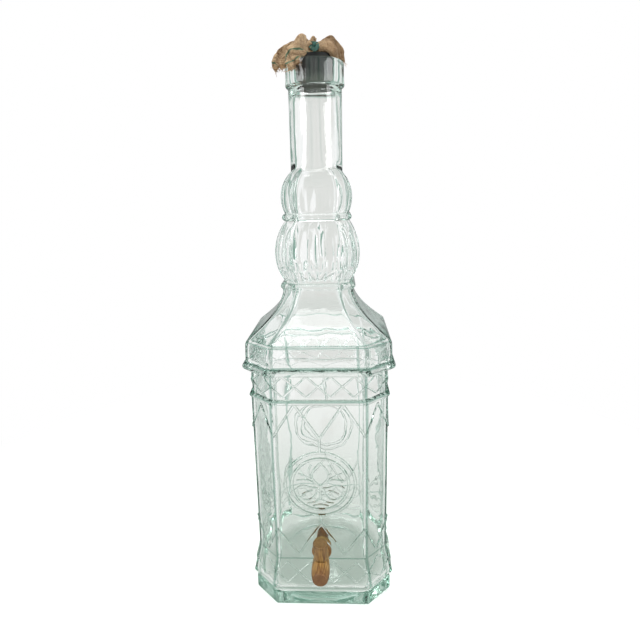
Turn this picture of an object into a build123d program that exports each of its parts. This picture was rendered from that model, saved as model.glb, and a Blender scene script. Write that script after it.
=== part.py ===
# Tall glass drinks bottle with a wooden tap at its foot and a cloth-dressed stopper in its mouth.
# Millimetres. The origin is the middle of the foot, +Z is up, and the tap's side faces -Y.
import os
from math import sqrt

from build123d import *

# Bottle plan: a square with its corners cut off, given by its half width across the flats
corner_share = 0.33        # leg of the cut corner, as a share of the half width
edge_round = 3.5           # rounding of the eight upright edges
bulb_edge_round = 7.0      # the same on the two bulbs, which are softer
plinth_half = 83.4
skirt_half = 86.0
panel_half = 78.5
lattice_half = 76.9
shoulder_half = 82.5
lower_bulb_half = 47.1
upper_bulb_half = 39.0
neck_radius = 28.9
lip_radius = 31.5

# Bottle heights, from the foot up, one tier after another
plinth_height = 21.0
overhang_height = 7.0      # from the plinth out to the widest line of the skirt
skirt_height = 34.5
panel_height = 200.5       # to the middle of the small bead
lattice_height = 35.8      # from the small bead to the middle of the roll
shoulder_height = 27.2     # upright band, from the roll to the foot of the hollow curve
hollow_height = 58.0       # hollow curve, up to the lower collar
lower_bulb_height = 76.0   # from collar to collar
upper_bulb_height = 49.0   # from the upper collar to where the neck leaves the bulb
neck_height = 87.0
lip_height = 24.0

# Mouldings that run round the bottle
small_bead_radius = 3.4
small_bead_reach = 1.9     # how far it stands out from the panels
roll_radius = 4.7
roll_reach = 7.4           # how far it stands out from the panels
collar_bead_radius = 4.0
lower_collar_half = 42.4
upper_collar_half = 38.4
shoulder_lean = 0.9        # how much narrower the upright band is at its top
shoulder_round = 2.0
foot_round = 4.0
plinth_top_round = 2.0
overhang_inset = 1.2       # from the plinth's side in to where the overhang starts
moulding_bend = 1.0        # by how much a moulding bends wider than its own radius
tier_overlap = 1.0         # how far neighbouring tiers run into each other
lip_round = 3.0

# Curves of the upper bottle
lower_bulb_radius = 58.0
lower_bulb_rise = 37.0     # from the lower collar to the widest line
upper_bulb_radius = 39.0
upper_bulb_rise = 21.0
upper_bulb_run = 4.0       # how far the upper bulb runs on inside the foot of the neck
hollow_foot_slope = 0.85   # rise of the hollow curve at its foot, for each millimetre inwards
hollow_foot_pull = 23.0    # how far the hollow curve runs along its two end directions
hollow_top_pull = 24.0

# Glass thickness
wall = 4.4
foot_wall = 6.5
floor_thickness = 11.0
punt_depth = 13.0          # how far the base is pushed up
punt_radius = 58.0
mouth_radius = 20.5
mouth_round = 1.5
lower_bulb_inner_radius = 74.0
upper_bulb_inner_radius = 48.0
hollow_inset = 5.6         # level thickness of the glass along the hollow curve

# Relief that the mould presses into the outside: raised lines with drafted sides
relief_rise = 1.0
relief_root = 0.8          # how far a line is rooted in the glass
relief_draft = 20.0        # degrees
line_width = 3.6
lattice_line_width = 2.6
ring_width = 4.0
medallion_level = 162.6    # middle of the ring pattern on each wide face
outer_ring_radius = 40.2   # to the middle of the ring's width
inner_ring_radius = 32.4
medallion_gap = 1.0        # from the upright lines to the outer ring's middle
arch_reach = 27.0          # from the middle of a face out to the points of its two arches
arch_top = 2.2             # from the small bead down to the arches' points
arch_valley = 220.0
arch_end = 222.0
vee_foot = 6.5             # from the foot of the panels up to the points of the lower zigzag
vee_peak = 111.0
vee_end = 104.0
edge_gap = 1.5             # from the end of a line to the upright edge
corner_arch_end = 226.0
corner_vee_end = 100.0
lattice_count = 4          # diamonds side by side on a wide face
lattice_margin = 2.6       # from the mouldings to the diamonds' points
skirt_margin = 4.5
tongue_count = 6           # upright tongues side by side on a wide face of the lower bulb
tongue_rise = 0.9
tongue_foot = 18.0         # from the lower collar up to the tongues' feet
tongue_top = 9.0           # from the tongues' tops up to the upper collar
tongue_rows = 5

# Tap: its axis is level and stands this high over the foot
tap_height = 75.0
hole_radius = 11.0
tail_length = 34.0         # inside the bottle, from the outer face of the panel
tail_tip_radius = 6.6
tail_root_radius = 8.3
flange_radius = 11.6
flange_thickness = 3.8
tap_neck_radius = 8.8
tap_neck_length = 7.0      # from the flange to the swell of the barrel
barrel_radius = 9.9
barrel_end_radius = 8.5
tap_reach = 48.5           # from the outer face of the panel to the end face
key_setback = 25.0         # from the outer face of the panel to the key's axis
flow_radius = 2.5
end_round = 1.2

# Key and its cork sleeve
sleeve_radius = 6.6
sleeve_bore_radius = 4.6
key_clearance = 0.05
key_flat_rise = 8.5        # the flats above and below the barrel's axis that the key passes
key_head_foot_radius = 7.2
key_head_top_radius = 8.3
key_head_height = 20.5
key_head_gap = 0.3
key_spout_length = 10.0
key_bore_radius = 2.2

# Bush in the hole of the glass
bush_inside = 7.0          # how far it reaches past the inner face of the glass

# Stopper
plug_clearance = 0.06
plug_tip_radius = 19.7
plug_depth = 22.5
plug_head = 6.0            # above the lip
plug_round = 1.5

# Cloth on the stopper, gathered and tied, with its corners hanging
cloth_foot_radius = 14.0
cloth_layer = 2.0          # thickness of the folded cloth where it lies on the stopper
cloth_throat_radius = 8.5
cloth_throat_rise = 14.5   # above the lip
cloth_crown_rise = 24.0
cloth_crown_radius = 14.0
petal_thickness = 4.4
tie_radius = 1.5
# Turn from the front, way out and height over the lip, half width
petals = [
    (-40, [(5, 20.5), (18, 22.5), (30, 16), (35.5, 3), (36, -14)], 9.0),
    (-68, [(5, 20.5), (15, 24), (27, 18), (33, 4)], 8.0),
    (-98, [(5, 20.5), (20, 25), (36, 19), (43, 8), (44, -6)], 12.0),
    (-150, [(5, 20.5), (16, 23), (28, 17), (34, 4)], 9.0),
    (62, [(5, 20.5), (18, 25), (29, 22), (33, 13), (31, 6)], 10.0),
    (112, [(5, 20.5), (16, 24), (29, 19), (34, 5)], 9.0),
    (166, [(5, 20.5), (20, 25), (34, 18), (40, 6), (41, -8)], 12.0),
]

# Heights worked out from the tiers
skirt_foot = plinth_height + overhang_height
panel_foot = skirt_foot + skirt_height
small_bead_level = panel_foot + panel_height
roll_level = small_bead_level + lattice_height
hollow_foot = roll_level + shoulder_height
lower_collar_level = hollow_foot + hollow_height
upper_collar_level = lower_collar_level + lower_bulb_height
neck_foot = upper_collar_level + upper_bulb_height
lip_foot = neck_foot + neck_height
bottle_height = lip_foot + lip_height
roll_foot = roll_level - roll_radius
roll_top = roll_level + roll_radius
lower_bulb_level = lower_collar_level + lower_bulb_rise
upper_bulb_level = upper_collar_level + upper_bulb_rise
upper_bulb_top = neck_foot + upper_bulb_run
punt_sphere = (punt_radius**2 + punt_depth**2) / (2 * punt_depth)

# Places worked out from the tap, measured outwards from the bottle's upright axis
flange_face = panel_half + flange_thickness
key_reach = panel_half + key_setback
barrel_face = panel_half + tap_reach
bush_end = panel_half - wall - bush_inside
key_top = tap_height + key_flat_rise + key_head_height
key_foot = tap_height - key_flat_rise - key_spout_length
tap_axis = Axis((0, 0, tap_height), (0, -1, 0))
tap_side = Plane((0, -panel_half, tap_height), x_dir=(1, 0, 0), z_dir=(0, -1, 0))
tap_section = Plane((0, 0, tap_height), x_dir=(0, -1, 0), z_dir=(-1, 0, 0))
key_seat = Plane((0, -key_reach, tap_height))

# Heights worked out from the lip
plug_top = bottle_height + plug_head
cloth_foot_top = plug_top + cloth_layer
throat_level = bottle_height + cloth_throat_rise
crown_level = bottle_height + cloth_crown_rise


def octagon(level, half, rounding=edge_round):
    # One level section of the bottle
    with BuildSketch(Plane.XY.offset(level)) as section:
        Rectangle(2 * half, 2 * half)
        chamfer(section.vertices(), corner_share * half)
        fillet(section.vertices(), min(rounding, 0.4 * corner_share * half))
    return section.sketch


def octagons(stations, rounding=edge_round):
    return [octagon(level, half, rounding) for level, half in stations]


def bead(level, outer_half, radius):
    # Round moulding that runs once round the bottle
    path = octagon(level, outer_half - radius, radius + moulding_bend).wires()[0]
    start = Plane(origin=path.position_at(0), z_dir=path.tangent_at(0))
    with BuildPart() as moulding:
        with BuildSketch(start):
            Circle(radius)
        sweep(path=path)
    return moulding.part


def bulb_stations(widest_level, half, radius, low, high, count=9):
    # Half widths along a round bulge whose widest line is at widest_level
    stations = []
    for step in range(count):
        level = low + (high - low) * step / (count - 1)
        reach = sqrt(radius**2 - (level - widest_level) ** 2)
        stations.append((level, half - radius + reach))
    return stations


def hollow_stations(inset=0.0, count=7):
    # Hollow curve from the upright band in to the lower collar
    foot_half = shoulder_half - shoulder_lean
    top_half = lower_collar_half - collar_bead_radius + tier_overlap
    foot = Vector(foot_half, hollow_foot)
    top = Vector(top_half, lower_collar_level)
    slope = Vector(-1, hollow_foot_slope).normalized()
    curve = Bezier(foot, foot + slope * hollow_foot_pull, top - Vector(0, 1) * hollow_top_pull, top)
    points = [curve.position_at(step / (count - 1)) for step in range(count)]
    return [(point.Y, point.X - inset) for point in points]


def tail_radius_at(reach):
    # The tail widens evenly from its tip to the outer face of the panel
    share = (reach - panel_half + tail_length) / tail_length
    return tail_tip_radius + (tail_root_radius - tail_tip_radius) * share


def wall_plane(foot_half, foot_level, top_half, top_level, corner=False):
    # Plane on the front face, or on the cut corner to its right, between two levels
    share = (2 - corner_share) / sqrt(2) if corner else 1
    turn = 45 if corner else 0
    level_line = Vector(1, 0, 0)
    lean = Vector(0, share * (foot_half - top_half), top_level - foot_level)
    return Plane(
        origin=Vector(0, -share * foot_half, foot_level).rotate(Axis.Z, turn),
        x_dir=level_line.rotate(Axis.Z, turn),
        z_dir=level_line.cross(lean).rotate(Axis.Z, turn),
    )


def flat_half(half, corner=False):
    # Half width of the straight part of a wide face, or of a cut corner
    if corner:
        return corner_share * half / sqrt(2) - edge_gap
    return (1 - corner_share) * half - edge_gap


def pressed(plane, lines, width):
    # Raised lines on one plane, rooted in the glass, with drafted sides
    with BuildPart() as raised:
        for line in lines:
            with BuildSketch(plane.offset(-relief_root)):
                with BuildLine():
                    Polyline(*line)
                trace(line_width=width)
            extrude(amount=relief_root + relief_rise, taper=relief_draft)
    return raised.part


def lattice(plane, half, height, margin, count, width):
    # Row of diamonds between two mouldings, as crossing zigzags
    step = half / count
    lines = []
    for side in (-1, 1):
        points = []
        for place in range(2 * count + 1):
            reach = -half + place * step
            swing = (0, side, 0, -side)[place % 4] * (height / 2 - margin)
            points.append((reach, height / 2 + swing))
        lines.append(points)
    return pressed(plane, lines, width)


def tongued(level, half):
    # Level section of the lower bulb with its tongues, as arcs from edge to edge
    main = (1 - corner_share) * half
    knots = [(-main + 2 * main * place / tongue_count, -half) for place in range(tongue_count + 1)]
    knots.append(((main + half) / 2, -(half + main) / 2))
    with BuildSketch(Plane.XY.offset(level)) as section:
        with BuildLine():
            for turn in range(4):
                ring = [Vector(*knot).rotate(Axis.Z, 90 * turn) for knot in knots]
                ring.append(Vector(-main, -half).rotate(Axis.Z, 90 * (turn + 1)))
                for start, end in zip(ring, ring[1:]):
                    middle = (start + end) / 2
                    out = Vector(end.Y - start.Y, start.X - end.X).normalized()
                    ThreePointArc(start, middle + out * tongue_rise, end)
        make_face()
    return section.sketch


lower_bulb = bulb_stations(
    lower_bulb_level, lower_bulb_half, lower_bulb_radius, lower_collar_level, upper_collar_level
)
upper_bulb = bulb_stations(
    upper_bulb_level, upper_bulb_half, upper_bulb_radius, upper_collar_level, upper_bulb_top
)
lower_bulb_inside = bulb_stations(
    lower_bulb_level, lower_bulb_half - wall, lower_bulb_inner_radius, lower_collar_level, upper_collar_level
)
upper_bulb_inside = bulb_stations(
    upper_bulb_level, upper_bulb_half - wall, upper_bulb_inner_radius, upper_collar_level, neck_foot
)
tongued_bulb = bulb_stations(
    lower_bulb_level,
    lower_bulb_half,
    lower_bulb_radius,
    lower_collar_level + tongue_foot,
    upper_collar_level - tongue_top,
    tongue_rows,
)
hollow_inside = hollow_stations(hollow_inset)

# Relief of one quarter: a wide face and the cut corner to its right
panel_front = wall_plane(panel_half, 0, panel_half, small_bead_level)
panel_corner = wall_plane(panel_half, 0, panel_half, small_bead_level, corner=True)
panel_edge = flat_half(panel_half)
corner_edge = flat_half(panel_half, corner=True)
arch_point = small_bead_level - arch_top
vee_point = panel_foot + vee_foot
ring_top = medallion_level + outer_ring_radius - medallion_gap
ring_foot = medallion_level - outer_ring_radius + medallion_gap
quarter_relief = [
    pressed(
        panel_front,
        [
            [(-panel_edge, arch_end), (-arch_reach, arch_point), (0, arch_valley), (arch_reach, arch_point),
             (panel_edge, arch_end)],
            [(0, arch_valley), (0, ring_top)],
            [(0, ring_foot), (0, vee_peak)],
            [(-panel_edge, vee_end), (-arch_reach, vee_point), (0, vee_peak), (arch_reach, vee_point),
             (panel_edge, vee_end)],
        ],
        line_width,
    ),
    pressed(
        panel_corner,
        [
            [(-corner_edge, corner_arch_end), (0, arch_point), (corner_edge, corner_arch_end)],
            [(-corner_edge, corner_vee_end), (0, vee_point), (corner_edge, corner_vee_end)],
        ],
        line_width,
    ),
]
for corner, count in ((False, lattice_count), (True, 1)):
    quarter_relief.append(
        lattice(
            wall_plane(lattice_half, small_bead_level, lattice_half, roll_level, corner),
            flat_half(lattice_half, corner),
            lattice_height,
            lattice_margin + roll_radius,
            count,
            lattice_line_width,
        )
    )
    quarter_relief.append(
        lattice(
            wall_plane(skirt_half, skirt_foot, panel_half, panel_foot, corner),
            flat_half(panel_half, corner),
            skirt_height,
            skirt_margin,
            count,
            lattice_line_width,
        )
    )

# Two rings in the middle of the panel
medallion = Plane((0, -panel_half, medallion_level), x_dir=(1, 0, 0), z_dir=(0, -1, 0))
with BuildPart() as rings:
    for radius in (outer_ring_radius, inner_ring_radius):
        with BuildSketch(medallion.offset(-relief_root)):
            Circle(radius + ring_width / 2)
            Circle(radius - ring_width / 2, mode=Mode.SUBTRACT)
        extrude(amount=relief_root + relief_rise, taper=relief_draft)
quarter_relief.append(rings.part)

# Outside of the bottle
with BuildPart() as bottle_outside:
    add(octagon(0, plinth_half))
    extrude(amount=plinth_height)
    fillet(bottle_outside.faces().sort_by(Axis.Z)[0].edges(), foot_round)
    fillet(bottle_outside.faces().sort_by(Axis.Z)[-1].edges(), plinth_top_round)
    overhang_foot = (plinth_height - tier_overlap, plinth_half - overhang_inset)
    loft(octagons([overhang_foot, (skirt_foot, skirt_half)]), ruled=True)
    loft(octagons([(skirt_foot, skirt_half), (panel_foot, panel_half)]), ruled=True)
    loft(octagons([(panel_foot, panel_half), (small_bead_level, panel_half)]), ruled=True)
    loft(octagons([(small_bead_level, lattice_half), (roll_level, lattice_half)]), ruled=True)
    shoulder_foot = roll_level - roll_radius / 3
    add(octagon(shoulder_foot, shoulder_half))
    extrude(amount=hollow_foot - shoulder_foot)
    fillet(bottle_outside.faces().sort_by(Axis.Z)[-1].edges(), shoulder_round)
    loft(octagons(hollow_stations()))
    loft(octagons(lower_bulb, bulb_edge_round))
    loft(octagons(upper_bulb, bulb_edge_round))
    loft([tongued(level, half) for level, half in tongued_bulb])
    add(bead(small_bead_level, panel_half + small_bead_reach, small_bead_radius))
    add(bead(roll_level, panel_half + roll_reach, roll_radius))
    add(bead(lower_collar_level, lower_collar_half, collar_bead_radius))
    add(bead(upper_collar_level, upper_collar_half, collar_bead_radius))
    with BuildSketch(Plane.XY.offset(upper_bulb_level)):
        Circle(neck_radius)
    extrude(amount=lip_foot + lip_round - upper_bulb_level)
    with BuildSketch(Plane.XY.offset(lip_foot)):
        Circle(lip_radius)
    extrude(amount=lip_height)
    lip_edges = bottle_outside.edges().filter_by(GeomType.CIRCLE).sort_by(Axis.Z)
    fillet(lip_edges[-1], lip_round)
    with PolarLocations(0, 4):
        add(quarter_relief)

# Hollow inside of the bottle, up to the foot of the neck
with BuildPart() as cavity:
    loft(
        octagons(
            [
                (floor_thickness, plinth_half - foot_wall - foot_round),
                (floor_thickness + foot_round, plinth_half - foot_wall),
                (plinth_height, plinth_half - foot_wall),
                (skirt_foot, skirt_half - wall),
            ]
        ),
        ruled=True,
    )
    loft(octagons([(skirt_foot, skirt_half - wall), (panel_foot, panel_half - wall)]), ruled=True)
    loft(octagons([(panel_foot, panel_half - wall), (small_bead_level, panel_half - wall)]), ruled=True)
    loft(octagons([(small_bead_level, panel_half - wall), (roll_foot, lattice_half - wall)]), ruled=True)
    loft(octagons([(roll_foot, lattice_half - wall), (roll_top, shoulder_half - wall)]), ruled=True)
    loft(octagons([(roll_top, shoulder_half - wall), hollow_inside[0]]), ruled=True)
    loft(octagons(hollow_inside))
    loft(octagons(lower_bulb_inside, bulb_edge_round))
    loft(octagons(upper_bulb_inside, bulb_edge_round))
    with Locations((0, 0, punt_depth - punt_sphere)):
        Sphere(punt_sphere + floor_thickness, mode=Mode.SUBTRACT)

with BuildPart() as glass_bottle:
    add(bottle_outside.part)
    add(cavity.part, mode=Mode.SUBTRACT)
    with Locations((0, 0, punt_depth - punt_sphere)):
        Sphere(punt_sphere, mode=Mode.SUBTRACT)
    with BuildSketch(Plane.XY.offset(upper_bulb_level)):
        Circle(mouth_radius)
    extrude(amount=bottle_height - upper_bulb_level, mode=Mode.SUBTRACT)
    fillet(glass_bottle.faces().sort_by(Axis.Z)[-1].edges().sort_by(SortBy.RADIUS)[0], mouth_round)
    with BuildSketch(tap_side):
        Circle(hole_radius)
    extrude(amount=-2 * wall, mode=Mode.SUBTRACT)

# Turned wooden tap: tail, flange, neck and barrel on one level axis
with BuildPart() as barrel_blank:
    with BuildSketch(tap_section):
        with BuildLine():
            turning = Polyline(
                (panel_half - tail_length, 0),
                (panel_half - tail_length, tail_tip_radius),
                (panel_half, tail_root_radius),
                (panel_half, flange_radius),
                (flange_face, flange_radius),
                (flange_face, tap_neck_radius),
            )
            Spline(
                turning @ 1,
                (flange_face + tap_neck_length, tap_neck_radius),
                (key_reach, barrel_radius),
                (barrel_face - end_round, barrel_end_radius),
            )
            Polyline(
                (barrel_face - end_round, barrel_end_radius),
                (barrel_face, barrel_end_radius - end_round),
                (barrel_face, 0),
                (panel_half - tail_length, 0),
            )
        make_face()
    revolve(axis=tap_axis)
    flange_edges = barrel_blank.edges().filter_by(GeomType.CIRCLE).sort_by(SortBy.RADIUS)[-2:]
    fillet(flange_edges, end_round)
    # Flats above and below, where the key stands and leaves
    with BuildSketch(Plane((0, -key_reach, tap_height + key_flat_rise))):
        Circle(key_head_top_radius)
    extrude(amount=barrel_radius, mode=Mode.SUBTRACT)
    with BuildSketch(Plane((0, -key_reach, tap_height - key_flat_rise))):
        Circle(key_head_top_radius)
    extrude(amount=-barrel_radius, mode=Mode.SUBTRACT)

with BuildPart() as tap_body:
    add(barrel_blank.part)
    with BuildSketch(key_seat):
        Circle(sleeve_radius)
    extrude(amount=barrel_radius, both=True, mode=Mode.SUBTRACT)
    with BuildSketch(tap_side.offset(-tail_length)):
        Circle(flow_radius)
    extrude(amount=tail_length + key_setback, mode=Mode.SUBTRACT)

# Cork sleeve in the key's seat, trimmed to the turned barrel, with a port towards the tail
with BuildPart() as key_sleeve:
    with BuildSketch(key_seat):
        Circle(sleeve_radius)
    extrude(amount=barrel_radius, both=True)
    add(barrel_blank.part, mode=Mode.INTERSECT)
    with BuildSketch(key_seat):
        Circle(sleeve_bore_radius)
    extrude(amount=barrel_radius, both=True, mode=Mode.SUBTRACT)
    with BuildSketch(tap_side.offset(key_setback)):
        Circle(flow_radius)
    extrude(amount=-2 * sleeve_radius, mode=Mode.SUBTRACT)

# Key: grip above the barrel, plug through the sleeve, outlet below
with BuildPart() as tap_key:
    with BuildSketch(Plane((0, -key_reach, tap_height + key_flat_rise + key_head_gap))):
        Circle(key_head_foot_radius)
    with BuildSketch(Plane((0, -key_reach, key_top))):
        Circle(key_head_top_radius)
    loft()
    fillet(tap_key.faces().sort_by(Axis.Z)[-1].edges(), end_round)
    with BuildSketch(Plane((0, -key_reach, key_foot))):
        Circle(sleeve_bore_radius - key_clearance)
    extrude(amount=key_top - end_round - key_foot)
    with BuildSketch(Plane((0, -key_reach, key_foot))):
        Circle(key_bore_radius)
    extrude(amount=tap_height + key_bore_radius - key_foot, mode=Mode.SUBTRACT)
    with BuildSketch(Plane((0, -key_reach, tap_height), z_dir=(1, 0, 0))):
        Circle(key_bore_radius)
    extrude(amount=sleeve_radius, mode=Mode.SUBTRACT)

# Cork bush round the tail, in the hole of the glass
with BuildPart() as hole_bush:
    with BuildSketch(tap_section):
        with BuildLine():
            Polyline(
                (bush_end, tail_radius_at(bush_end)),
                (panel_half, tail_root_radius),
                (panel_half, hole_radius),
                (bush_end, hole_radius),
                close=True,
            )
        make_face()
    revolve(axis=tap_axis)

# Stopper in the mouth
with BuildPart() as stopper_plug:
    with BuildSketch(Plane.XZ):
        with BuildLine():
            Polyline(
                (0, bottle_height - plug_depth),
                (plug_tip_radius, bottle_height - plug_depth),
                (mouth_radius - plug_clearance, bottle_height),
                (mouth_radius - plug_clearance, plug_top),
                (0, plug_top),
                close=True,
            )
        make_face()
    revolve()
    fillet(stopper_plug.faces().sort_by(Axis.Z)[0].edges(), plug_round)
    fillet(stopper_plug.faces().sort_by(Axis.Z)[-1].edges(), plug_round)


def petal(turn, reach_and_rise, half_width):
    # One hanging corner of the gathered cloth, turned about the bottle from its front
    upright = Plane.XZ.rotated((0, 0, turn - 90))
    with BuildPart() as corner:
        with BuildLine(upright) as path:
            Spline([(reach, bottle_height + rise) for reach, rise in reach_and_rise])
        start = Plane(origin=path.line @ 0, x_dir=upright.z_dir, z_dir=path.line % 0)
        with BuildSketch(start):
            Ellipse(half_width, petal_thickness / 2)
        sweep(path=path.line)
    return corner.part


# Band tied round the throat of the cloth, which it presses in
with BuildPart() as stopper_tie:
    with BuildSketch(Plane.XZ):
        with Locations((cloth_throat_radius + tie_radius, throat_level)):
            Circle(tie_radius)
    revolve()

# Gathered cloth: foot on the stopper's head, throat under the tie, crown and hanging corners
with BuildPart() as stopper_cloth:
    with BuildSketch(Plane.XZ):
        with BuildLine():
            foot = Polyline(
                (0, plug_top), (cloth_foot_radius, plug_top), (cloth_foot_radius, cloth_foot_top)
            )
            gather = Spline(
                foot @ 1,
                (cloth_throat_radius, throat_level),
                (cloth_crown_radius, crown_level - petal_thickness),
            )
            Polyline(gather @ 1, (0, crown_level), (0, plug_top))
        make_face()
    revolve()
    for turn, reach_and_rise, half_width in petals:
        add(petal(turn, reach_and_rise, half_width))
    add(stopper_tie.part, mode=Mode.SUBTRACT)

os.makedirs("parts", exist_ok=True)
pieces = {
    "glass_bottle": glass_bottle,
    "tap_body": tap_body,
    "key_sleeve": key_sleeve,
    "tap_key": tap_key,
    "hole_bush": hole_bush,
    "stopper_plug": stopper_plug,
    "stopper_cloth": stopper_cloth,
    "stopper_tie": stopper_tie,
}
for name, piece in pieces.items():
    piece.part.label = name
    export_step(piece.part, f"parts/{name}.step")
print("capacity in litres to the neck:", round(cavity.part.volume / 1e6, 2))
print("height of the bottle:", bottle_height)
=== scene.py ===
import math

import bpy
import numpy as np
from mathutils import Matrix, Quaternion, Vector, noise


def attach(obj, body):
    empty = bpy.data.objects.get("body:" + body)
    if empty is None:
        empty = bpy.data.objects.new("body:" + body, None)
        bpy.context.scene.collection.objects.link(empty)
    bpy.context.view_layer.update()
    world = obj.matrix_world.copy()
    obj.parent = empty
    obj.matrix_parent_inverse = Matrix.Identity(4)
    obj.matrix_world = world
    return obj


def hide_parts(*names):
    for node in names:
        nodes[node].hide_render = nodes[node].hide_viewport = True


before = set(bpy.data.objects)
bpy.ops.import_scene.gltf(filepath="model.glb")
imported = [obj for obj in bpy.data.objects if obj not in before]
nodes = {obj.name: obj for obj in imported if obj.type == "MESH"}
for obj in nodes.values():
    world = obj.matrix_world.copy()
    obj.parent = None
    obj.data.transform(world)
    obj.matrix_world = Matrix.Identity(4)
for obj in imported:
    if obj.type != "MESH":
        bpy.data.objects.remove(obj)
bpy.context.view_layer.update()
millimetre = 0.001
print("stage: frame loaded")


def linearColour(hexText):
    # sRGB hex to the linear numbers that Blender's colour sockets take
    channels = [int(hexText[place:place + 2], 16) / 255 for place in (0, 2, 4)]
    linear = [c / 12.92 if c <= 0.04045 else ((c + 0.055) / 1.055) ** 2.4 for c in channels]
    return (*linear, 1.0)


def addNode(tree, kind, inputs=None, **settings):
    # One node, with its settings, and its inputs given as values or as sockets to link
    node = tree.nodes.new(kind)
    for setting, value in settings.items():
        setattr(node, setting, value)
    for socketName, value in (inputs or {}).items():
        socket = node.inputs[socketName]
        if isinstance(value, bpy.types.NodeSocket):
            tree.links.new(value, socket)
        else:
            socket.default_value = value
    return node


def newMaterial(name):
    material = bpy.data.materials.new(name)
    material.use_nodes = True
    material.node_tree.nodes.clear()
    output = addNode(material.node_tree, "ShaderNodeOutputMaterial")
    return material, material.node_tree, output


def newPiece(name, vertices, faces, material, smooth=True):
    mesh = bpy.data.meshes.new(name)
    mesh.from_pydata(vertices, [], faces)
    mesh.update()
    if smooth:
        mesh.shade_smooth()
    if material:
        mesh.materials.append(material)
    piece = bpy.data.objects.new(name, mesh)
    bpy.context.scene.collection.objects.link(piece)
    return piece


def dressNode(name, material):
    # A CAD node keeps its shape and gets a finish
    mesh = nodes[name].data
    mesh.materials.clear()
    mesh.materials.append(material)


def bakeModifiers(piece):
    # Turns what the modifiers make into the piece's own plain mesh
    graph = bpy.context.evaluated_depsgraph_get()
    mesh = bpy.data.meshes.new_from_object(piece.evaluated_get(graph), depsgraph=graph)
    piece.modifiers.clear()
    piece.data = mesh


# Camera, matched to the photograph
cameraSetup = {
    "place": (26.7, -573.9, 484.0),
    "heading": (-0.0448, 0.9676, -0.2485),
    "rollDegrees": -1.23,
    "lens": 27.56,
}
cameraData = bpy.data.cameras.new("photoCamera")
cameraData.sensor_width = 36
cameraData.lens = cameraSetup["lens"]
cameraData.clip_start = 0.02
cameraObject = bpy.data.objects.new("photoCamera", cameraData)
bpy.context.scene.collection.objects.link(cameraObject)
cameraObject.location = Vector(cameraSetup["place"]) * millimetre
cameraObject.rotation_mode = "QUATERNION"
levelView = (-Vector(cameraSetup["heading"])).to_track_quat("Z", "Y")
roll = Quaternion((0, 0, 1), math.radians(cameraSetup["rollDegrees"]))
cameraObject.rotation_quaternion = levelView @ roll
bpy.context.scene.camera = cameraObject
bpy.context.scene.view_settings.view_transform = "Standard"
# Light crosses many walls of glass before it reaches the eye
bpy.context.scene.cycles.max_bounces = 28
bpy.context.scene.cycles.transmission_bounces = 28
bpy.context.scene.cycles.glossy_bounces = 16
bpy.context.scene.cycles.transparent_max_bounces = 24

# Stage: white surroundings for the eye, a plain studio for the glass
stage = {
    "floorSize": 12.0,
    "floorColour": "F2F2F0",
    "floorLift": 0.22,        # what the floor adds to itself for the eye, so that it reads as white
    "paperEnds": (0.30, 0.75),  # metres from the middle, where the lit paper runs out into plain white
    "glassPaperEnds": (0.066, 0.088),  # the same for what the glass shows of the floor, and past it of the studio
    "glassFloor": "CDD5CF",   # what the glass shows of the floor close to it
    "ambient": 0.55,
    "backdrop": "E3E4E1",     # straight behind the glass
    "softBox": "FFFFFF",
    "flag": "7EA294",         # darker upright boards that draw the edges of the glass
    "flagTurn": 45.0,         # degrees from one board to the next, all round
    "ceilingColour": "93B0A5",
    "groundColour": "F8F9F7",
    "ground": (-0.30, -0.40),  # the same downwards, for lit paper all round
    "ceiling": (0.38, 0.60),  # sine of the height where the darker ceiling starts, and where it is full
    "mirrored": 0.45,         # strength of the studio where the glass mirrors it instead of showing through
}


def lightPathSum(tree, names):
    # 1 for the named kinds of ray, otherwise 0
    path = addNode(tree, "ShaderNodeLightPath")
    total = path.outputs[names[0]]
    for name in names[1:]:
        step = addNode(tree, "ShaderNodeMath", {0: total, 1: path.outputs[name]}, operation="ADD", use_clamp=True)
        total = step.outputs[0]
    return total


def studioColour(tree, direction):
    # Backdrop, soft box, board and so on round the object: what the glass sees in each direction
    split = addNode(tree, "ShaderNodeSeparateXYZ", {0: direction})
    turn = addNode(tree, "ShaderNodeMath", {0: split.outputs["Y"], 1: split.outputs["X"]}, operation="ARCTAN2")
    beat = addNode(tree, "ShaderNodeMath", {0: turn.outputs[0], 1: 360 / stage["flagTurn"]}, operation="MULTIPLY")
    wave = addNode(tree, "ShaderNodeMath", {0: beat.outputs[0]}, operation="COSINE")
    level = addNode(tree, "ShaderNodeMapRange", {"Value": wave.outputs[0], "From Min": -1.0, "From Max": 1.0})
    ramp = addNode(tree, "ShaderNodeValToRGB", {0: level.outputs[0]})
    stops = [(0.0, "flag"), (0.10, "flag"), (0.22, "softBox"), (0.72, "softBox"), (0.88, "backdrop")]
    for place, name in stops[2:]:
        ramp.color_ramp.elements.new(place)
    for stop, (place, name) in zip(ramp.color_ramp.elements, stops):
        stop.position = place
        stop.color = linearColour(stage[name])
    ceiling = addNode(tree, "ShaderNodeMapRange", {"Value": split.outputs["Z"], "From Min": stage["ceiling"][0],
                                                   "From Max": stage["ceiling"][1]}, interpolation_type="SMOOTHSTEP")
    room = addNode(tree, "ShaderNodeMix", {0: ceiling.outputs[0], 6: ramp.outputs["Color"],
                                           7: linearColour(stage["ceilingColour"])}, data_type="RGBA")
    ground = addNode(tree, "ShaderNodeMapRange", {"Value": split.outputs["Z"], "From Min": stage["ground"][0],
                                                  "From Max": stage["ground"][1]}, interpolation_type="SMOOTHSTEP")
    paper = addNode(tree, "ShaderNodeMix", {0: ground.outputs[0], 6: room.outputs[2],
                                            7: linearColour(stage["groundColour"])}, data_type="RGBA")
    return paper.outputs[2]


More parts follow.
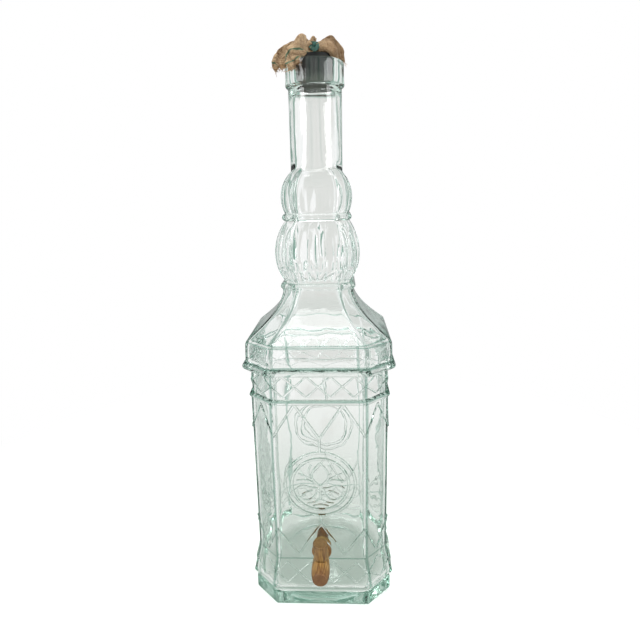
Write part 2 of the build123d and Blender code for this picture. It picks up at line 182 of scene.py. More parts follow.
def buildWorld():
    world = bpy.data.worlds.new("studio")
    bpy.context.scene.world = world
    world.use_nodes = True
    tree = world.node_tree
    tree.nodes.clear()
    output = addNode(tree, "ShaderNodeOutputWorld")
    place = addNode(tree, "ShaderNodeTexCoord")
    path = addNode(tree, "ShaderNodeLightPath")
    mirror = addNode(tree, "ShaderNodeMath", {0: path.outputs["Is Glossy Ray"], 1: path.outputs["Is Transmission Ray"]},
                     operation="SUBTRACT", use_clamp=True)
    strength = addNode(tree, "ShaderNodeMapRange", {"Value": mirror.outputs[0], "To Min": 1.0,
                                                    "To Max": stage["mirrored"]})
    glassView = addNode(tree, "ShaderNodeBackground", {"Color": studioColour(tree, place.outputs["Generated"]),
                                                       "Strength": strength.outputs[0]})
    eyeView = addNode(tree, "ShaderNodeBackground", {"Color": (1, 1, 1, 1), "Strength": 1.0})
    light = addNode(tree, "ShaderNodeBackground", {"Color": (1, 1, 1, 1), "Strength": stage["ambient"]})
    throughGlass = lightPathSum(tree, ["Is Glossy Ray", "Is Transmission Ray"])
    first = addNode(tree, "ShaderNodeMixShader", {0: throughGlass, 1: light.outputs[0], 2: glassView.outputs[0]})
    seen = addNode(tree, "ShaderNodeLightPath")
    second = addNode(tree, "ShaderNodeMixShader", {0: seen.outputs["Is Camera Ray"], 1: first.outputs[0],
                                                   2: eyeView.outputs[0]})
    tree.links.new(second.outputs[0], output.inputs["Surface"])


def buildFloor():
    material, tree, output = newMaterial("paperFloor")
    paper = addNode(tree, "ShaderNodeBsdfPrincipled", {"Base Color": linearColour(stage["floorColour"]),
                                                       "Roughness": 0.9, "Specular IOR Level": 0.1})
    path = addNode(tree, "ShaderNodeLightPath")
    eye = path.outputs["Is Camera Ray"]
    glass = lightPathSum(tree, ["Is Glossy Ray", "Is Transmission Ray"])
    strength = addNode(tree, "ShaderNodeMath", {0: eye, 1: stage["floorLift"]}, operation="MULTIPLY")
    lift = addNode(tree, "ShaderNodeEmission", {"Color": (1, 1, 1, 1), "Strength": strength.outputs[0]})
    lifted = addNode(tree, "ShaderNodeAddShader", {0: paper.outputs[0], 1: lift.outputs[0]})
    base = addNode(tree, "ShaderNodeEmission", {"Color": linearColour(stage["glassFloor"])})
    near = addNode(tree, "ShaderNodeMixShader", {0: glass, 1: lifted.outputs[0], 2: base.outputs[0]})
    place = addNode(tree, "ShaderNodeTexCoord")
    distance = addNode(tree, "ShaderNodeVectorMath", {0: place.outputs["Object"]}, operation="LENGTH")
    white = addNode(tree, "ShaderNodeEmission", {"Color": (1, 1, 1, 1)})
    beyond = addNode(tree, "ShaderNodeBsdfTransparent")
    both = near
    for ray, far, (start, end) in ((eye, white, stage["paperEnds"]), (glass, beyond, stage["glassPaperEnds"])):
        fade = addNode(tree, "ShaderNodeMapRange", {"Value": distance.outputs["Value"], "From Min": start,
                                                    "From Max": end}, interpolation_type="SMOOTHSTEP")
        share = addNode(tree, "ShaderNodeMath", {0: fade.outputs[0], 1: ray}, operation="MULTIPLY")
        both = addNode(tree, "ShaderNodeMixShader", {0: share.outputs[0], 1: both.outputs[0], 2: far.outputs[0]})
    tree.links.new(both.outputs[0], output.inputs["Surface"])
    half = stage["floorSize"] / 2
    floor = newPiece("paperFloor", [(-half, -half, -0.0004), (half, -half, -0.0004), (half, half, -0.0004),
                                    (-half, half, -0.0004)], [(0, 1, 2, 3)], material, smooth=False)


lamps = [  # name, place and aim in metres, width, height, watts
    ("leftBox", (-1.3, -0.9, 1.3), (0, 0, 0.3), 0.7, 1.3, 16),
    ("rightBox", (1.4, -0.7, 1.1), (0, 0, 0.3), 0.6, 1.2, 11),
    ("topBox", (0.1, -0.2, 1.9), (0, 0, 0.3), 1.1, 1.1, 18),
]


def buildLamps():
    for name, place, aim, width, height, watts in lamps:
        light = bpy.data.lights.new(name, "AREA")
        light.shape = "RECTANGLE"
        light.size = width
        light.size_y = height
        light.energy = watts
        lamp = bpy.data.objects.new(name, light)
        lamp.location = place
        lamp.rotation_mode = "QUATERNION"
        lamp.rotation_quaternion = (Vector(place) - Vector(aim)).to_track_quat("Z", "Y")
        lamp.visible_glossy = name != "topBox"
        bpy.context.scene.collection.objects.link(lamp)


buildWorld()
buildFloor()
buildLamps()
print("stage: camera, studio and lamps ready")

# Recycled bottle glass, blown in a mould: soft ripples, pale aqua where it is thin, green where light runs along it
bottleGlass = {
    "ior": 1.52,
    "roughness": 0.015,
    "footRoughness": 0.035,    # the rubbed foot
    "frostLevels": (16.0, 25.0),
    "surfaceColour": "FFFFFF",
    "lowColour": "EDF1EE",     # tint of the thicker glass lower down
    "lowLevels": (60.0, 250.0),
    "edgeColour": "8FAEA2",    # tint where light crosses the glass on the slant, along its edges
    "edgeSlant": (0.48, 0.96),
    "depthColour": "95D2BE",   # absorption colour
    "density": 4.5,            # per metre
    "flankColour": "C3D2CA",   # tint of the steep flanks of the mould's relief
    "rimColour": "8DB0A4",     # tint along the upright edges and the mouldings, where the glass is thickest
    "rimLevels": [(1.0, 3.6), (20.6, 2.0), (62.9, 1.2), (264.5, 2.0), (303.0, 1.4), (326.0, 1.0)],  # level, half width
    "rippleSize": 16.0,        # millimetres from ripple to ripple
    "rippleStrength": 0.10,
}


def thickShares(tree, split):
    # 1 on the flanks of the raised lines and along the rims, 0 on the plain faces
    def maths(operation, first, second=0.0):
        return addNode(tree, "ShaderNodeMath", {0: first, 1: second}, operation=operation).outputs[0]

    def ranged(value, start, end, low, high):
        return addNode(tree, "ShaderNodeMapRange", {"Value": value, "From Min": start * millimetre,
                                                    "From Max": end * millimetre, "To Min": low,
                                                    "To Max": high}, interpolation_type="LINEAR").outputs[0]

    x, y = maths("ABSOLUTE", split.outputs["X"]), maths("ABSOLUTE", split.outputs["Y"])
    z = split.outputs["Z"]
    skirt = ranged(z, 28, 62.5, 86 * millimetre, 78.5 * millimetre)
    wall = maths("SUBTRACT", skirt, ranged(z, 262, 268, 0.0, 1.6 * millimetre))
    face = maths("SUBTRACT", maths("MAXIMUM", x, y), wall)
    corner = maths("SUBTRACT", maths("ADD", x, y), maths("MULTIPLY", wall, 2 - 0.33))
    proud = maths("MAXIMUM", face, maths("MULTIPLY", corner, math.sqrt(0.5)))
    level = ranged(proud, 0.08, 1.4, 0.0, 1.0)
    ramp = addNode(tree, "ShaderNodeValToRGB", {0: level})
    for place in (0.12, 0.62):
        ramp.color_ramp.elements.new(place)
    for stop, (place, tone) in zip(ramp.color_ramp.elements, ((0.0, 0.0), (0.12, 1.0), (0.62, 1.0), (0.95, 0.0))):
        stop.position = place
        stop.color = (tone, tone, tone, 1.0)
    inside = maths("MULTIPLY", maths("GREATER_THAN", z, 0.0305), maths("LESS_THAN", z, 0.2945))
    flank = maths("MULTIPLY", ramp.outputs["Color"], inside)
    # Upright edges: how far a point lies round the corner from the edge between a wide face and a cut one
    round = maths("SUBTRACT", maths("MINIMUM", x, y), maths("MULTIPLY", wall, 1 - 0.33))
    upright = maths("MULTIPLY", ranged(round, -1.6, -0.2, 0.0, 1.0), ranged(round, 1.6, 3.2, 1.0, 0.0))
    upright = maths("MULTIPLY", upright, maths("LESS_THAN", z, 0.2945))
    rim = upright
    for level, half in bottleGlass["rimLevels"]:
        away = maths("ABSOLUTE", maths("SUBTRACT", z, level * millimetre))
        rim = maths("MAXIMUM", rim, ranged(away, half, half * 0.4, 0.0, 1.0))
    return flank, maths("MULTIPLY", rim, maths("GREATER_THAN", proud, -3.3 * millimetre))  # the outside only


def glassMaterial():
    material, tree, output = newMaterial("recycledBlownGlass")
    place = addNode(tree, "ShaderNodeTexCoord")
    ripple = addNode(tree, "ShaderNodeTexNoise", {"Vector": place.outputs["Object"],
                                                  "Scale": 1 / (bottleGlass["rippleSize"] * millimetre),
                                                  "Detail": 1.5, "Roughness": 0.4})
    bump = addNode(tree, "ShaderNodeBump", {"Strength": bottleGlass["rippleStrength"], "Distance": 0.002,
                                            "Height": ripple.outputs["Fac"]})
    split = addNode(tree, "ShaderNodeSeparateXYZ", {0: place.outputs["Object"]})
    low, high = (level * millimetre for level in bottleGlass["lowLevels"])
    rise = addNode(tree, "ShaderNodeMapRange", {"Value": split.outputs["Z"], "From Min": low, "From Max": high},
                   interpolation_type="SMOOTHSTEP")
    tint = addNode(tree, "ShaderNodeMix", {0: rise.outputs[0], 6: linearColour(bottleGlass["lowColour"]),
                                           7: linearColour(bottleGlass["surfaceColour"])}, data_type="RGBA")
    slant = addNode(tree, "ShaderNodeLayerWeight", {"Blend": 0.5})
    start, end = bottleGlass["edgeSlant"]
    edge = addNode(tree, "ShaderNodeMapRange", {"Value": slant.outputs["Facing"], "From Min": start,
                                                "From Max": end}, interpolation_type="SMOOTHSTEP")
    edged = addNode(tree, "ShaderNodeMix", {0: edge.outputs[0], 6: tint.outputs[2],
                                            7: linearColour(bottleGlass["edgeColour"])}, data_type="RGBA")
    tinted = edged.outputs[2]
    for share, colourName in zip(thickShares(tree, split), ("flankColour", "rimColour")):
        deeper = addNode(tree, "ShaderNodeMix", {0: share, 6: tinted, 7: linearColour(bottleGlass[colourName])},
                         data_type="RGBA", blend_type="MULTIPLY")
        tinted = deeper.outputs[2]
    low, high = (level * millimetre for level in bottleGlass["frostLevels"])
    frost = addNode(tree, "ShaderNodeMapRange", {"Value": split.outputs["Z"], "From Min": low, "From Max": high,
                                                 "To Min": bottleGlass["footRoughness"],
                                                 "To Max": bottleGlass["roughness"]})
    glass = addNode(tree, "ShaderNodeBsdfPrincipled", {
        "Base Color": tinted,
        "Roughness": frost.outputs[0],
        "IOR": bottleGlass["ior"],
        "Transmission Weight": 1.0,
        "Normal": bump.outputs[0],
    })
    clear = addNode(tree, "ShaderNodeBsdfTransparent", {"Color": linearColour("E4EFEA")})
    path = addNode(tree, "ShaderNodeLightPath")
    shadow = addNode(tree, "ShaderNodeMixShader", {0: path.outputs["Is Shadow Ray"], 1: glass.outputs[0],
                                                   2: clear.outputs[0]})
    tree.links.new(shadow.outputs[0], output.inputs["Surface"])
    depth = addNode(tree, "ShaderNodeVolumeAbsorption", {"Color": linearColour(bottleGlass["depthColour"]),
                                                         "Density": bottleGlass["density"]})
    tree.links.new(depth.outputs[0], output.inputs["Volume"])
    return material


# Shape of the bottle, in millimetres, as in the CAD model
bottle = {
    "cornerShare": 0.33,
    "edgeRound": 3.5,
    "bulbRound": 7.0,
    "insideRound": 9.0,
    "mainColumns": 37,       # across each of the four wide faces
    "cutColumns": 11,        # across each cut corner
    "edgeColumns": 3,
    "wave": 0.35,            # how far the inner face of the glass wanders
    "fluteDepth": 1.25,
    "upperFluteDepth": 0.6,
    "holeRadius": 11.05,
    "tapHeight": 75.0,
}


def columnAngles():
    # Directions of the upright rows of points, denser across the upright edges
    share = bottle["cornerShare"]
    soften = 0.0185
    mainEnd = 1 - share - soften
    cutHalf = share * math.sqrt(0.5) - soften
    cutReach = (2 - share) * math.sqrt(0.5)
    main = np.arctan(np.linspace(-mainEnd, mainEnd, bottle["mainColumns"]))
    cut = math.pi / 4 + np.arctan(np.linspace(-cutHalf, cutHalf, bottle["cutColumns"]) / cutReach)
    count = bottle["edgeColumns"] + 2
    first = np.linspace(main[-1], cut[0], count)[1:-1]
    second = np.linspace(cut[-1], math.pi / 2 + main[0], count)[1:-1]
    side = np.concatenate([main, first, cut, second])
    return np.concatenate([side + turn * math.pi / 2 for turn in range(4)])


def octagonReach(angles, half, rounding):
    # Distance from the axis to a square with cut corners and rounded edges
    share = bottle["cornerShare"]
    leg = share * half
    rounding = min(rounding, 0.95 * leg)
    reach = math.tan(math.radians(22.5)) * rounding
    # one eighth: flat, then the arc of one upright edge, then the cut corner, mirrored over 45 degrees
    folded = np.abs((angles + math.pi / 4) % (math.pi / 2) - math.pi / 4)
    cutReach = (2 * half - leg) * math.sqrt(0.5)
    flat = half / np.cos(folded)
    cut = cutReach / np.cos(math.pi / 4 - folded)
    centre = (half - rounding, half - leg - reach)
    along = centre[0] * np.cos(folded) + centre[1] * np.sin(folded)
    across = centre[0] * np.sin(folded) - centre[1] * np.cos(folded)
    arc = along + np.sqrt(np.maximum(rounding**2 - across**2, 0))
    arcStart = math.atan2(centre[1], half)
    arcEnd = math.atan2(centre[1] + rounding * math.sqrt(0.5), centre[0] + rounding * math.sqrt(0.5))
    return np.where(folded < arcStart, flat, np.where(folded < arcEnd, arc, cut))


def smoothMax(first, second, width):
    share = np.clip(0.5 + (first - second) / (2 * width), 0, 1)
    return second + (first - second) * share + width * share * (1 - share)


def arcPath(centreReach, centreLevel, radius, startDegrees, endDegrees, count):
    # Points (reach, level) along an arc of the profile
    return [(centreReach + radius * math.cos(math.radians(turn)), centreLevel + radius * math.sin(math.radians(turn)))
            for turn in np.linspace(startDegrees, endDegrees, count)]


def bezierPath(points, count):
    a, b, c, d = (np.array(point, float) for point in points)
    return [tuple((1 - t)**3 * a + 3 * (1 - t)**2 * t * b + 3 * (1 - t) * t**2 * c + t**3 * d)
            for t in np.linspace(0, 1, count)]


def bulge(widest, half, radius, levels):
    return [(half - radius + math.sqrt(radius**2 - (level - widest)**2), level) for level in levels]


def hollowPath(inset, count):
    slope = Vector((-1, 0.85)).normalized() * 23
    path = bezierPath([(81.6, 326), (81.6 + slope.x, 326 + slope.y), (39.4, 360), (39.4, 384)], count)
    return [(reach - inset, level) for reach, level in path]


def outerRows():
    # Rows of the outside from the middle of the foot up to the mouth: reach, level, rounding, share of circle
    edge, bulb = bottle["edgeRound"], bottle["bulbRound"]
    rows = [(reach, math.sqrt(135.9**2 - reach**2) - 122.9, 0, 1) for reach in (10, 22, 34, 45, 53)]
    rows += [(58, 0.15, 0, 1), (60, 0, 0, 1), (70, 0, edge, 0.5)]
    rows += [(reach, level, edge, 0) for reach, level in arcPath(79.4, 4, 4, -90, 0, 6)]
    rows += [(reach, level, edge, 0) for reach, level in
             [(83.4, 10), (83.4, 17.4), (83.1, 18.8), (82.4, 20.2), (82.2, 21.3), (82.6, 22.6), (83.9, 24.6),
              (85.4, 26.9), (85.9, 27.9), (86.0, 28.8), (85.7, 29.9)]]
    rows += [(86.0 - 7.5 * (level - 28) / 34.5, level, edge, 0) for level in (32, 39, 46, 53, 59)]
    rows += [(78.7, 61.6, edge, 0), (78.5, 63.2, edge, 0)]
    rows += [(78.5, level, edge, 0) for level in np.linspace(70, 256, 8)]
    rows += [(reach, level, edge, 0) for reach, level in arcPath(77.0, 263, 3.4, -63, 91, 9)]
    rows += [(76.9, level, edge, 0) for level in (268.5, 275, 281, 287, 292, 295.2)]
    rows += [(reach, level, edge, 0) for reach, level in arcPath(81.2, 298.8, 4.7, -146, 72, 14)]
    rows += [(82.45, 304.6, edge, 0), (82.2, 310, edge, 0), (82.0, 317, edge, 0), (81.8, 322.5, edge, 0)]
    rows += [(81.6, 324.4, edge, 0), (80.9, 326.2, edge, 0), (79.6, 327.6, edge, 0)]
    rows += [(reach, level, edge, 0) for reach, level in hollowPath(0, 20)[1:-1] if level < 380]
    rows += [(reach, level, edge + 1, 0) for reach, level in arcPath(38.4, 384, 4, -62, 108, 10)]
    rows += [(reach, level, bulb, 0) for reach, level in
             bulge(421, 47.1, 58, [*np.arange(388.6, 410, 1.2), *np.arange(411, 455, 3.1)])]
    rows += [(reach, level, edge + 1, 0) for reach, level in arcPath(34.4, 460, 4, -72, 76, 10)]
    rows += [(reach, level, bulb, 0) for reach, level in bulge(481, 39, 39, np.linspace(464.6, 503, 16))]
    rows += [(reach, level, bulb, 2) for reach, level in bulge(481, 39, 39, np.linspace(504.5, 514, 8))]
    rows += [(28.9, level, 0, 1) for level in (516, 520, 535, 550, 565, 580, 588)]
    rows += [(28.9, 592.4, 0, 1), (29.1, 593.6, 0, 1), (29.6, 594.4, 0, 1)]
    rows += [(reach, level, 0, 1) for reach, level in arcPath(29.3, 597, 2.5, -60, 0, 5)]
    rows += [(31.45, 602, 0, 1), (31.3, 608, 0, 1), (31.4, 614, 0, 1)]
    rows += [(reach, level, 0, 1) for reach, level in arcPath(28.4, 616.9, 3, 0, 90, 7)]
    rows += [(25, 620, 0, 1)]
    rows += [(reach, level, 0, 1) for reach, level in arcPath(22.1, 618.5, 1.5, 90, 180, 5)]
    return rows


def innerRows():
    # Rows of the inside, from the mouth down to the middle of the floor
    soft = bottle["insideRound"]
    rows = [(20.6, level, 0, 1) for level in (615, 608, 602, 597)]
    rows += [(21.3, 594, 0, 1), (23.0, 591, 0, 1), (24.6, 588, 0, 1), (25.2, 584, 0, 1), (25.3, 578, 0, 1),
             (25.3, 563, 0, 1), (25.3, 545, 0, 1), (25.2, 528, 0, 1), (25.1, 520, 0, 1), (25.2, 514, 0, 1),
             (25.8, 508.5, 3, 0.6)]
    rows += [(reach, level, soft, 0) for reach, level in bulge(481, 34.6, 48, np.linspace(503.5, 466, 10))]
    rows += [(32.0, 462.6, soft, 0), (32.2, 459.4, soft, 0)]
    rows += [(reach, level, soft, 0) for reach, level in bulge(421, 42.7, 74, np.linspace(456, 390, 14))]
    rows += [(34.2, 386, soft, 0)]
    rows += [(reach, level, soft, 0) for reach, level in reversed(hollowPath(5.6, 14)[:-1])]
    rows += [(77.2, 320, soft, 0), (78.0, 312, soft, 0), (77.8, 304, soft, 0), (75.2, 299, soft, 0),
             (73.0, 294.5, soft, 0), (72.5, 288, soft, 0), (72.6, 278, soft, 0), (73.4, 270, soft, 0)]
    rows += [(74.1, level, soft, 0) for level in np.linspace(262, 66, 17)]
    rows += [(74.6, 61, soft, 0), (76.4, 52, soft, 0), (78.6, 42, soft, 0), (80.4, 33.5, soft, 0),
             (80.6, 28.5, soft, 0), (79.6, 23.5, soft, 0), (77.6, 17.8, soft, 0), (75, 13.6, soft, 0),
             (71, 11.4, soft, 0.1), (66, 11.0, soft, 0.5), (60.4, 11.3, soft, 1)]
    rows += [(reach, math.sqrt(146.9**2 - reach**2) - 122.9, 0, 1) for reach in (52, 43, 33, 22, 11)]
    return rows


def rowReach(angles, reach, rounding, circle):
    if circle == 2:  # the bulb's last rows run smoothly into the round neck
        return smoothMax(octagonReach(angles, max(reach, 20), rounding), np.full(angles.shape, 28.9), 1.6)
    flat = octagonReach(angles, reach, rounding)
    return flat * (1 - circle) + reach * circle


def fluteShape(angles, level):
    # Upright tongues on the bulbs: how far the surface stands in from the smooth bulb
    folded = (angles + math.pi / 4) % (math.pi / 2) - math.pi / 4
    share = 1 - bottle["cornerShare"]
    onMain = np.abs(np.tan(folded)) < share
    mainPhase = (np.tan(folded) / share + 1) * 3          # six tongues on a wide face
    cutAngle = (angles % (math.pi / 2)) - math.pi / 4
    cutPhase = np.tan(cutAngle) * (2 - bottle["cornerShare"]) / bottle["cornerShare"] + 1
    phase = np.where(onMain, mainPhase, cutPhase)
    across = 2 * (phase % 1) - 1                            # -1 to 1 over one tongue
    groove = 1 - np.sqrt(np.maximum(1 - across**2, 0.0))
    if level < 450:
        tip = 401.5 + 4.2 * groove
        tongue = np.clip((level - tip) / 1.6, 0, 1) * np.clip((452 - level) / 14, 0, 1)
        rib = np.clip((level - 388.5) / 2, 0, 1) * (1 - np.clip((level - tip) / 1.6, 0, 1))
        narrow = np.exp(-((np.abs(across) - 1) / 0.22)**2)
        return bottle["fluteDepth"] * (tongue * groove + rib * (1 - 0.9 * narrow))
    fade = np.clip((level - 465) / 4, 0, 1) * np.clip((497 - level) / 12, 0, 1)
    return bottle["upperFluteDepth"] * fade * groove


def wander(points):
    # Slow, fixed unevenness of blown glass: a sum of waves in several directions
    waves = [((31, 12, 9), 0.3, 1.0), ((-14, 27, 16), 1.9, 0.9), ((9, -22, 37), 4.2, 0.8),
             ((46, 33, -21), 2.6, 0.45), ((-38, 44, 52), 5.1, 0.35), ((71, -52, 30), 0.9, 0.22)]
    total = np.zeros(len(points))
    for direction, phase, size in waves:
        total += size * np.sin(points @ np.array(direction, float) * 0.0022 * math.pi + phase)
    return total / 2.2


def bottleBody(material):
    # One closed skin: outside rows from the foot up, then inside rows down to the floor
    angles = columnAngles()
    count = len(angles)
    directions = np.stack([np.sin(angles), -np.cos(angles)], axis=1)
    outer, inner = outerRows(), innerRows()
    points = [(0, 0, 13.0)]
    for place, (reach, level, rounding, circle) in enumerate(outer + inner):
        distance = rowReach(angles, reach, rounding, circle)
        inside = place >= len(outer)
        if 388 < level < 500 and not inside and reach > 30:
            distance = distance - fluteShape(angles, level)
        ring = np.column_stack([directions * distance[:, None], np.full(count, level)])
        if inside and level < 600:
            push = wander(ring) * bottle["wave"]
            ring[:, :2] += directions * push[:, None]
        points.extend(map(tuple, ring))
    points.append((0, 0, 24.0))
    rowCount = len(outer) + len(inner)
    faces = [(0, 1 + (i + 1) % count, 1 + i) for i in range(count)]
    for row in range(rowCount - 1):
        start, end = 1 + row * count, 1 + (row + 1) * count
        faces += [(start + i, start + (i + 1) % count, end + (i + 1) % count, end + i) for i in range(count)]
    last = 1 + (rowCount - 1) * count
    faces += [(last + i, last + (i + 1) % count, len(points) - 1) for i in range(count)]
    body = newPiece("glassBody", [tuple(c * millimetre for c in point) for point in points], faces, material)
    return body


# Relief pressed into the outside by the mould: raised lines, given for one wide face and one cut corner
relief = {
    "height": 1.4,
    "lineWidth": 3.3,
    "ringWidth": 3.9,
    "leafWidth": 2.4,
    "bend": 2.5,             # rounding where a line turns
    "lineSides": 10,
    "rosetteLevel": 162.6,
}


def facePoint(face, across, level, sink):
    # A point of a relief line, sunk under the face that carries it
    if face == "panel":
        return Vector((across, -78.5 + sink, level))
    if face == "lattice":
        return Vector((across, -76.9 + sink, level))
    if face == "skirt":
        lean = math.atan2(7.5, 34.5)
        reach = 86.0 - 7.5 * (level - 28) / 34.5
        return Vector((across, -reach + sink * math.cos(lean), level - sink * math.sin(lean)))
    reach = {"cutPanel": 78.5, "cutLattice": 76.9}.get(face)
    if face == "cutSkirt":
        reach = 86.0 - 7.5 * (level - 28) / 34.5
    reach *= (2 - bottle["cornerShare"]) * math.sqrt(0.5)
    turn = math.pi / 4
    return Vector((math.sin(turn) * (reach - sink) + math.cos(turn) * across,
                   -math.cos(turn) * (reach - sink) + math.sin(turn) * across, level))


def curved(points, count=12):
    # A smooth line through a few points, for the leaves
    points = [np.array(p, float) for p in points]
    ends = [2 * points[0] - points[1], *points, 2 * points[-1] - points[-2]]
    line = []
    for a, b, c, d in zip(ends, ends[1:], ends[2:], ends[3:]):
        for t in np.arange(count) / count:
            line.append(0.5 * (2 * b + (c - a) * t + (2 * a - 5 * b + 4 * c - d) * t**2
                               + (3 * b - a - 3 * c + d) * t**3))
    return [tuple(p) for p in line] + [tuple(points[-1])]


def bentLine(corners, radius):
    # A broken line with its corners rounded
    line = [corners[0]]
    for before, corner, after in zip(corners, corners[1:], corners[2:]):
        before, corner, after = (np.array(point, float) for point in (before, corner, after))
        back, forward = before - corner, after - corner
        start = corner + back / np.linalg.norm(back) * radius
        end = corner + forward / np.linalg.norm(forward) * radius
        for t in (0, 0.33, 0.67, 1):
            line.append(tuple((1 - t)**2 * start + 2 * (1 - t) * t * corner + t**2 * end))
    return line + [corners[-1]]


def reliefLines():
    # Face, points (across, level), width, closed
    middle = relief["rosetteLevel"]
    lines = []
    for side in (-1, 1):
        lines.append(("panel", [(side * 52, 222), (side * 27, 261), (0, 220)], "lineWidth", False))
        lines.append(("panel", [(side * 52, 104), (side * 27, 69), (0, 111)], "lineWidth", False))
        for low, high in ((281, 293.2), (281, 268.8)):
            lines.append(("lattice", [(side * 52, low), (side * 39.4, high), (side * 26.25, low),
                                      (side * 13.1, high), (0, low)], "leafWidth", False))
        for low, high in ((46, 58.5), (46, 33.5)):
            lines.append(("skirt", [(side * 54, low), (side * 41, high), (side * 27.5, low),
                                    (side * 13.7, high), (0, low)], "leafWidth", False))
    lines.append(("panel", [(0, 220), (0, 203)], "lineWidth", False))
    lines.append(("panel", [(0, 122), (0, 111)], "lineWidth", False))
    for radius in (40.2, 32.6):
        ring = [(radius * math.cos(t), middle + radius * math.sin(t)) for t in np.linspace(0, 2 * math.pi, 73)]
        lines.append(("panel", ring, "ringWidth", True))
    lines.append(("cutPanel", [(-17.5, 226), (0, 258), (17.5, 226)], "lineWidth", False))
    lines.append(("cutPanel", [(-17.5, 100), (0, 67), (17.5, 100)], "lineWidth", False))
    for high in (293, 269):
        lines.append(("cutLattice", [(-17, 281), (0, high), (17, 281)], "leafWidth", False))
    for high in (58, 34):
        lines.append(("cutSkirt", [(-18, 46), (0, high), (18, 46)], "leafWidth", False))
    return lines


def rosetteLines():
    # In the ring of the front and of the two sides: a tulip between two pairs of leaves, on a low base
    middle = relief["rosetteLevel"]
    lines = []
    leaves = [[(0, -3), (-9, 8), (-7.5, 18), (0, 27.5)], [(0, -3), (9, 8), (7.5, 18), (0, 27.5)],
              [(-9, 8), (-13, 17), (-10, 25)], [(9, 8), (13, 17), (10, 25)]]
    for side in (-1, 1):
        leaves += [[(side * 4, 1), (side * 14, 6), (side * 27, 5)], [(side * 9, 6), (side * 18, 11), (side * 25, 14)],
                   [(side * 3, -5), (side * 10, -4), (side * 21, -1.5), (side * 27.5, -5)],
                   [(side * 3, -5), (side * 7, -15), (side * 15, -20), (side * 24, -16), (side * 27.5, -5)],
                   [(side * 9, -8), (side * 16, -10), (side * 21, -13)],
                   [(side * 1, -19), (side * 7, -23), (side * 15, -24.5)]]
    leaves += [[(0, -3), (0, -19)], [(-9, -28), (0, -26), (9, -28)]]
    for leaf in leaves:
        path = curved(leaf, 6) if len(leaf) > 2 else leaf
        lines.append(("panel", [(across, middle + level) for across, level in path], "leafWidth", True))
    return lines


def reliefCurves(name, lines):
    # The lines of one side as one curve object; each point carries the radius of its bead
    data = bpy.data.curves.new(name, "CURVE")
    data.dimensions = "3D"
    for face, points, widthName, smooth in lines:
        points = points if smooth else bentLine(points, relief["bend"])
        height, half = relief["height"], relief[widthName] / 2
        radius = (height**2 + half**2) / (2 * height)
        closed = math.dist(points[0], points[-1]) < 0.01
        points = points[:-1] if closed else points
        spline = data.splines.new("POLY")
        spline.use_cyclic_u = closed
        spline.points.add(len(points) - 1)
        for target, (across, level) in zip(spline.points, points):
            target.co = (*(facePoint(face, across, level, radius - height) * millimetre), 1)
            target.radius = radius * millimetre

    lines = bpy.data.objects.new(name, data)
    bpy.context.scene.collection.objects.link(lines)
    return lines


def reliefTree(material):
    # Beads along the lines, on all four sides, joined to the body as one piece of glass
    tree = bpy.data.node_groups.new("mouldRelief", "GeometryNodeTree")
    face = tree.interface
    face.new_socket("Geometry", in_out="INPUT", socket_type="NodeSocketGeometry")
    face.new_socket("Lines", in_out="INPUT", socket_type="NodeSocketObject")
    face.new_socket("First side", in_out="INPUT", socket_type="NodeSocketInt")
    face.new_socket("Sides", in_out="INPUT", socket_type="NodeSocketInt")
    face.new_socket("Bead sides", in_out="INPUT", socket_type="NodeSocketInt")
    face.new_socket("Geometry", in_out="OUTPUT", socket_type="NodeSocketGeometry")
    given = addNode(tree, "NodeGroupInput").outputs
    lines = addNode(tree, "GeometryNodeObjectInfo", {"Object": given["Lines"]}, transform_space="ORIGINAL")
    section = addNode(tree, "GeometryNodeCurvePrimitiveCircle", {"Resolution": given["Bead sides"], "Radius": 1.0})
    thickness = addNode(tree, "GeometryNodeInputRadius")
    beads = addNode(tree, "GeometryNodeCurveToMesh", {"Curve": lines.outputs["Geometry"], "Profile Curve": section.outputs[0],
                                                      "Scale": thickness.outputs[0], "Fill Caps": True})
    middle = addNode(tree, "GeometryNodeMeshLine", {"Count": given["Sides"], "Offset": (0, 0, 0)})
    place = addNode(tree, "GeometryNodeInputIndex")
    side = addNode(tree, "ShaderNodeMath", {0: place.outputs[0], 1: given["First side"]})
    quarter = addNode(tree, "ShaderNodeMath", {0: side.outputs[0], 1: math.pi / 2}, operation="MULTIPLY")
    turn = addNode(tree, "ShaderNodeCombineXYZ", {"Z": quarter.outputs[0]})
    around = addNode(tree, "GeometryNodeInstanceOnPoints", {"Points": middle.outputs[0],
                                                            "Instance": beads.outputs[0],
                                                            "Rotation": turn.outputs[0]})
    real = addNode(tree, "GeometryNodeRealizeInstances", {"Geometry": around.outputs[0]})
    # Each bead is joined by itself, so that crossing beads melt into one another
    island = addNode(tree, "GeometryNodeInputMeshIsland")
    apart = addNode(tree, "GeometryNodeSplitToInstances", {"Geometry": real.outputs[0],
                                                           "Group ID": island.outputs[0]}, domain="POINT")
    joined = addNode(tree, "GeometryNodeMeshBoolean", {"Mesh 2": given["Geometry"]}, operation="UNION",
                     solver="MANIFOLD")
    tree.links.new(apart.outputs[0], joined.inputs["Mesh 2"])
    whole = addNode(tree, "GeometryNodeRealizeInstances", {"Geometry": joined.outputs[0]})
    painted = addNode(tree, "GeometryNodeSetMaterial", {"Geometry": whole.outputs[0], "Material": material})
    addNode(tree, "NodeGroupOutput", {0: painted.outputs[0]})
    return tree


def setInput(modifier, name, value):
    for item in modifier.node_group.interface.items_tree:
        if item.name == name and item.in_out == "INPUT":
            modifier[item.identifier] = value


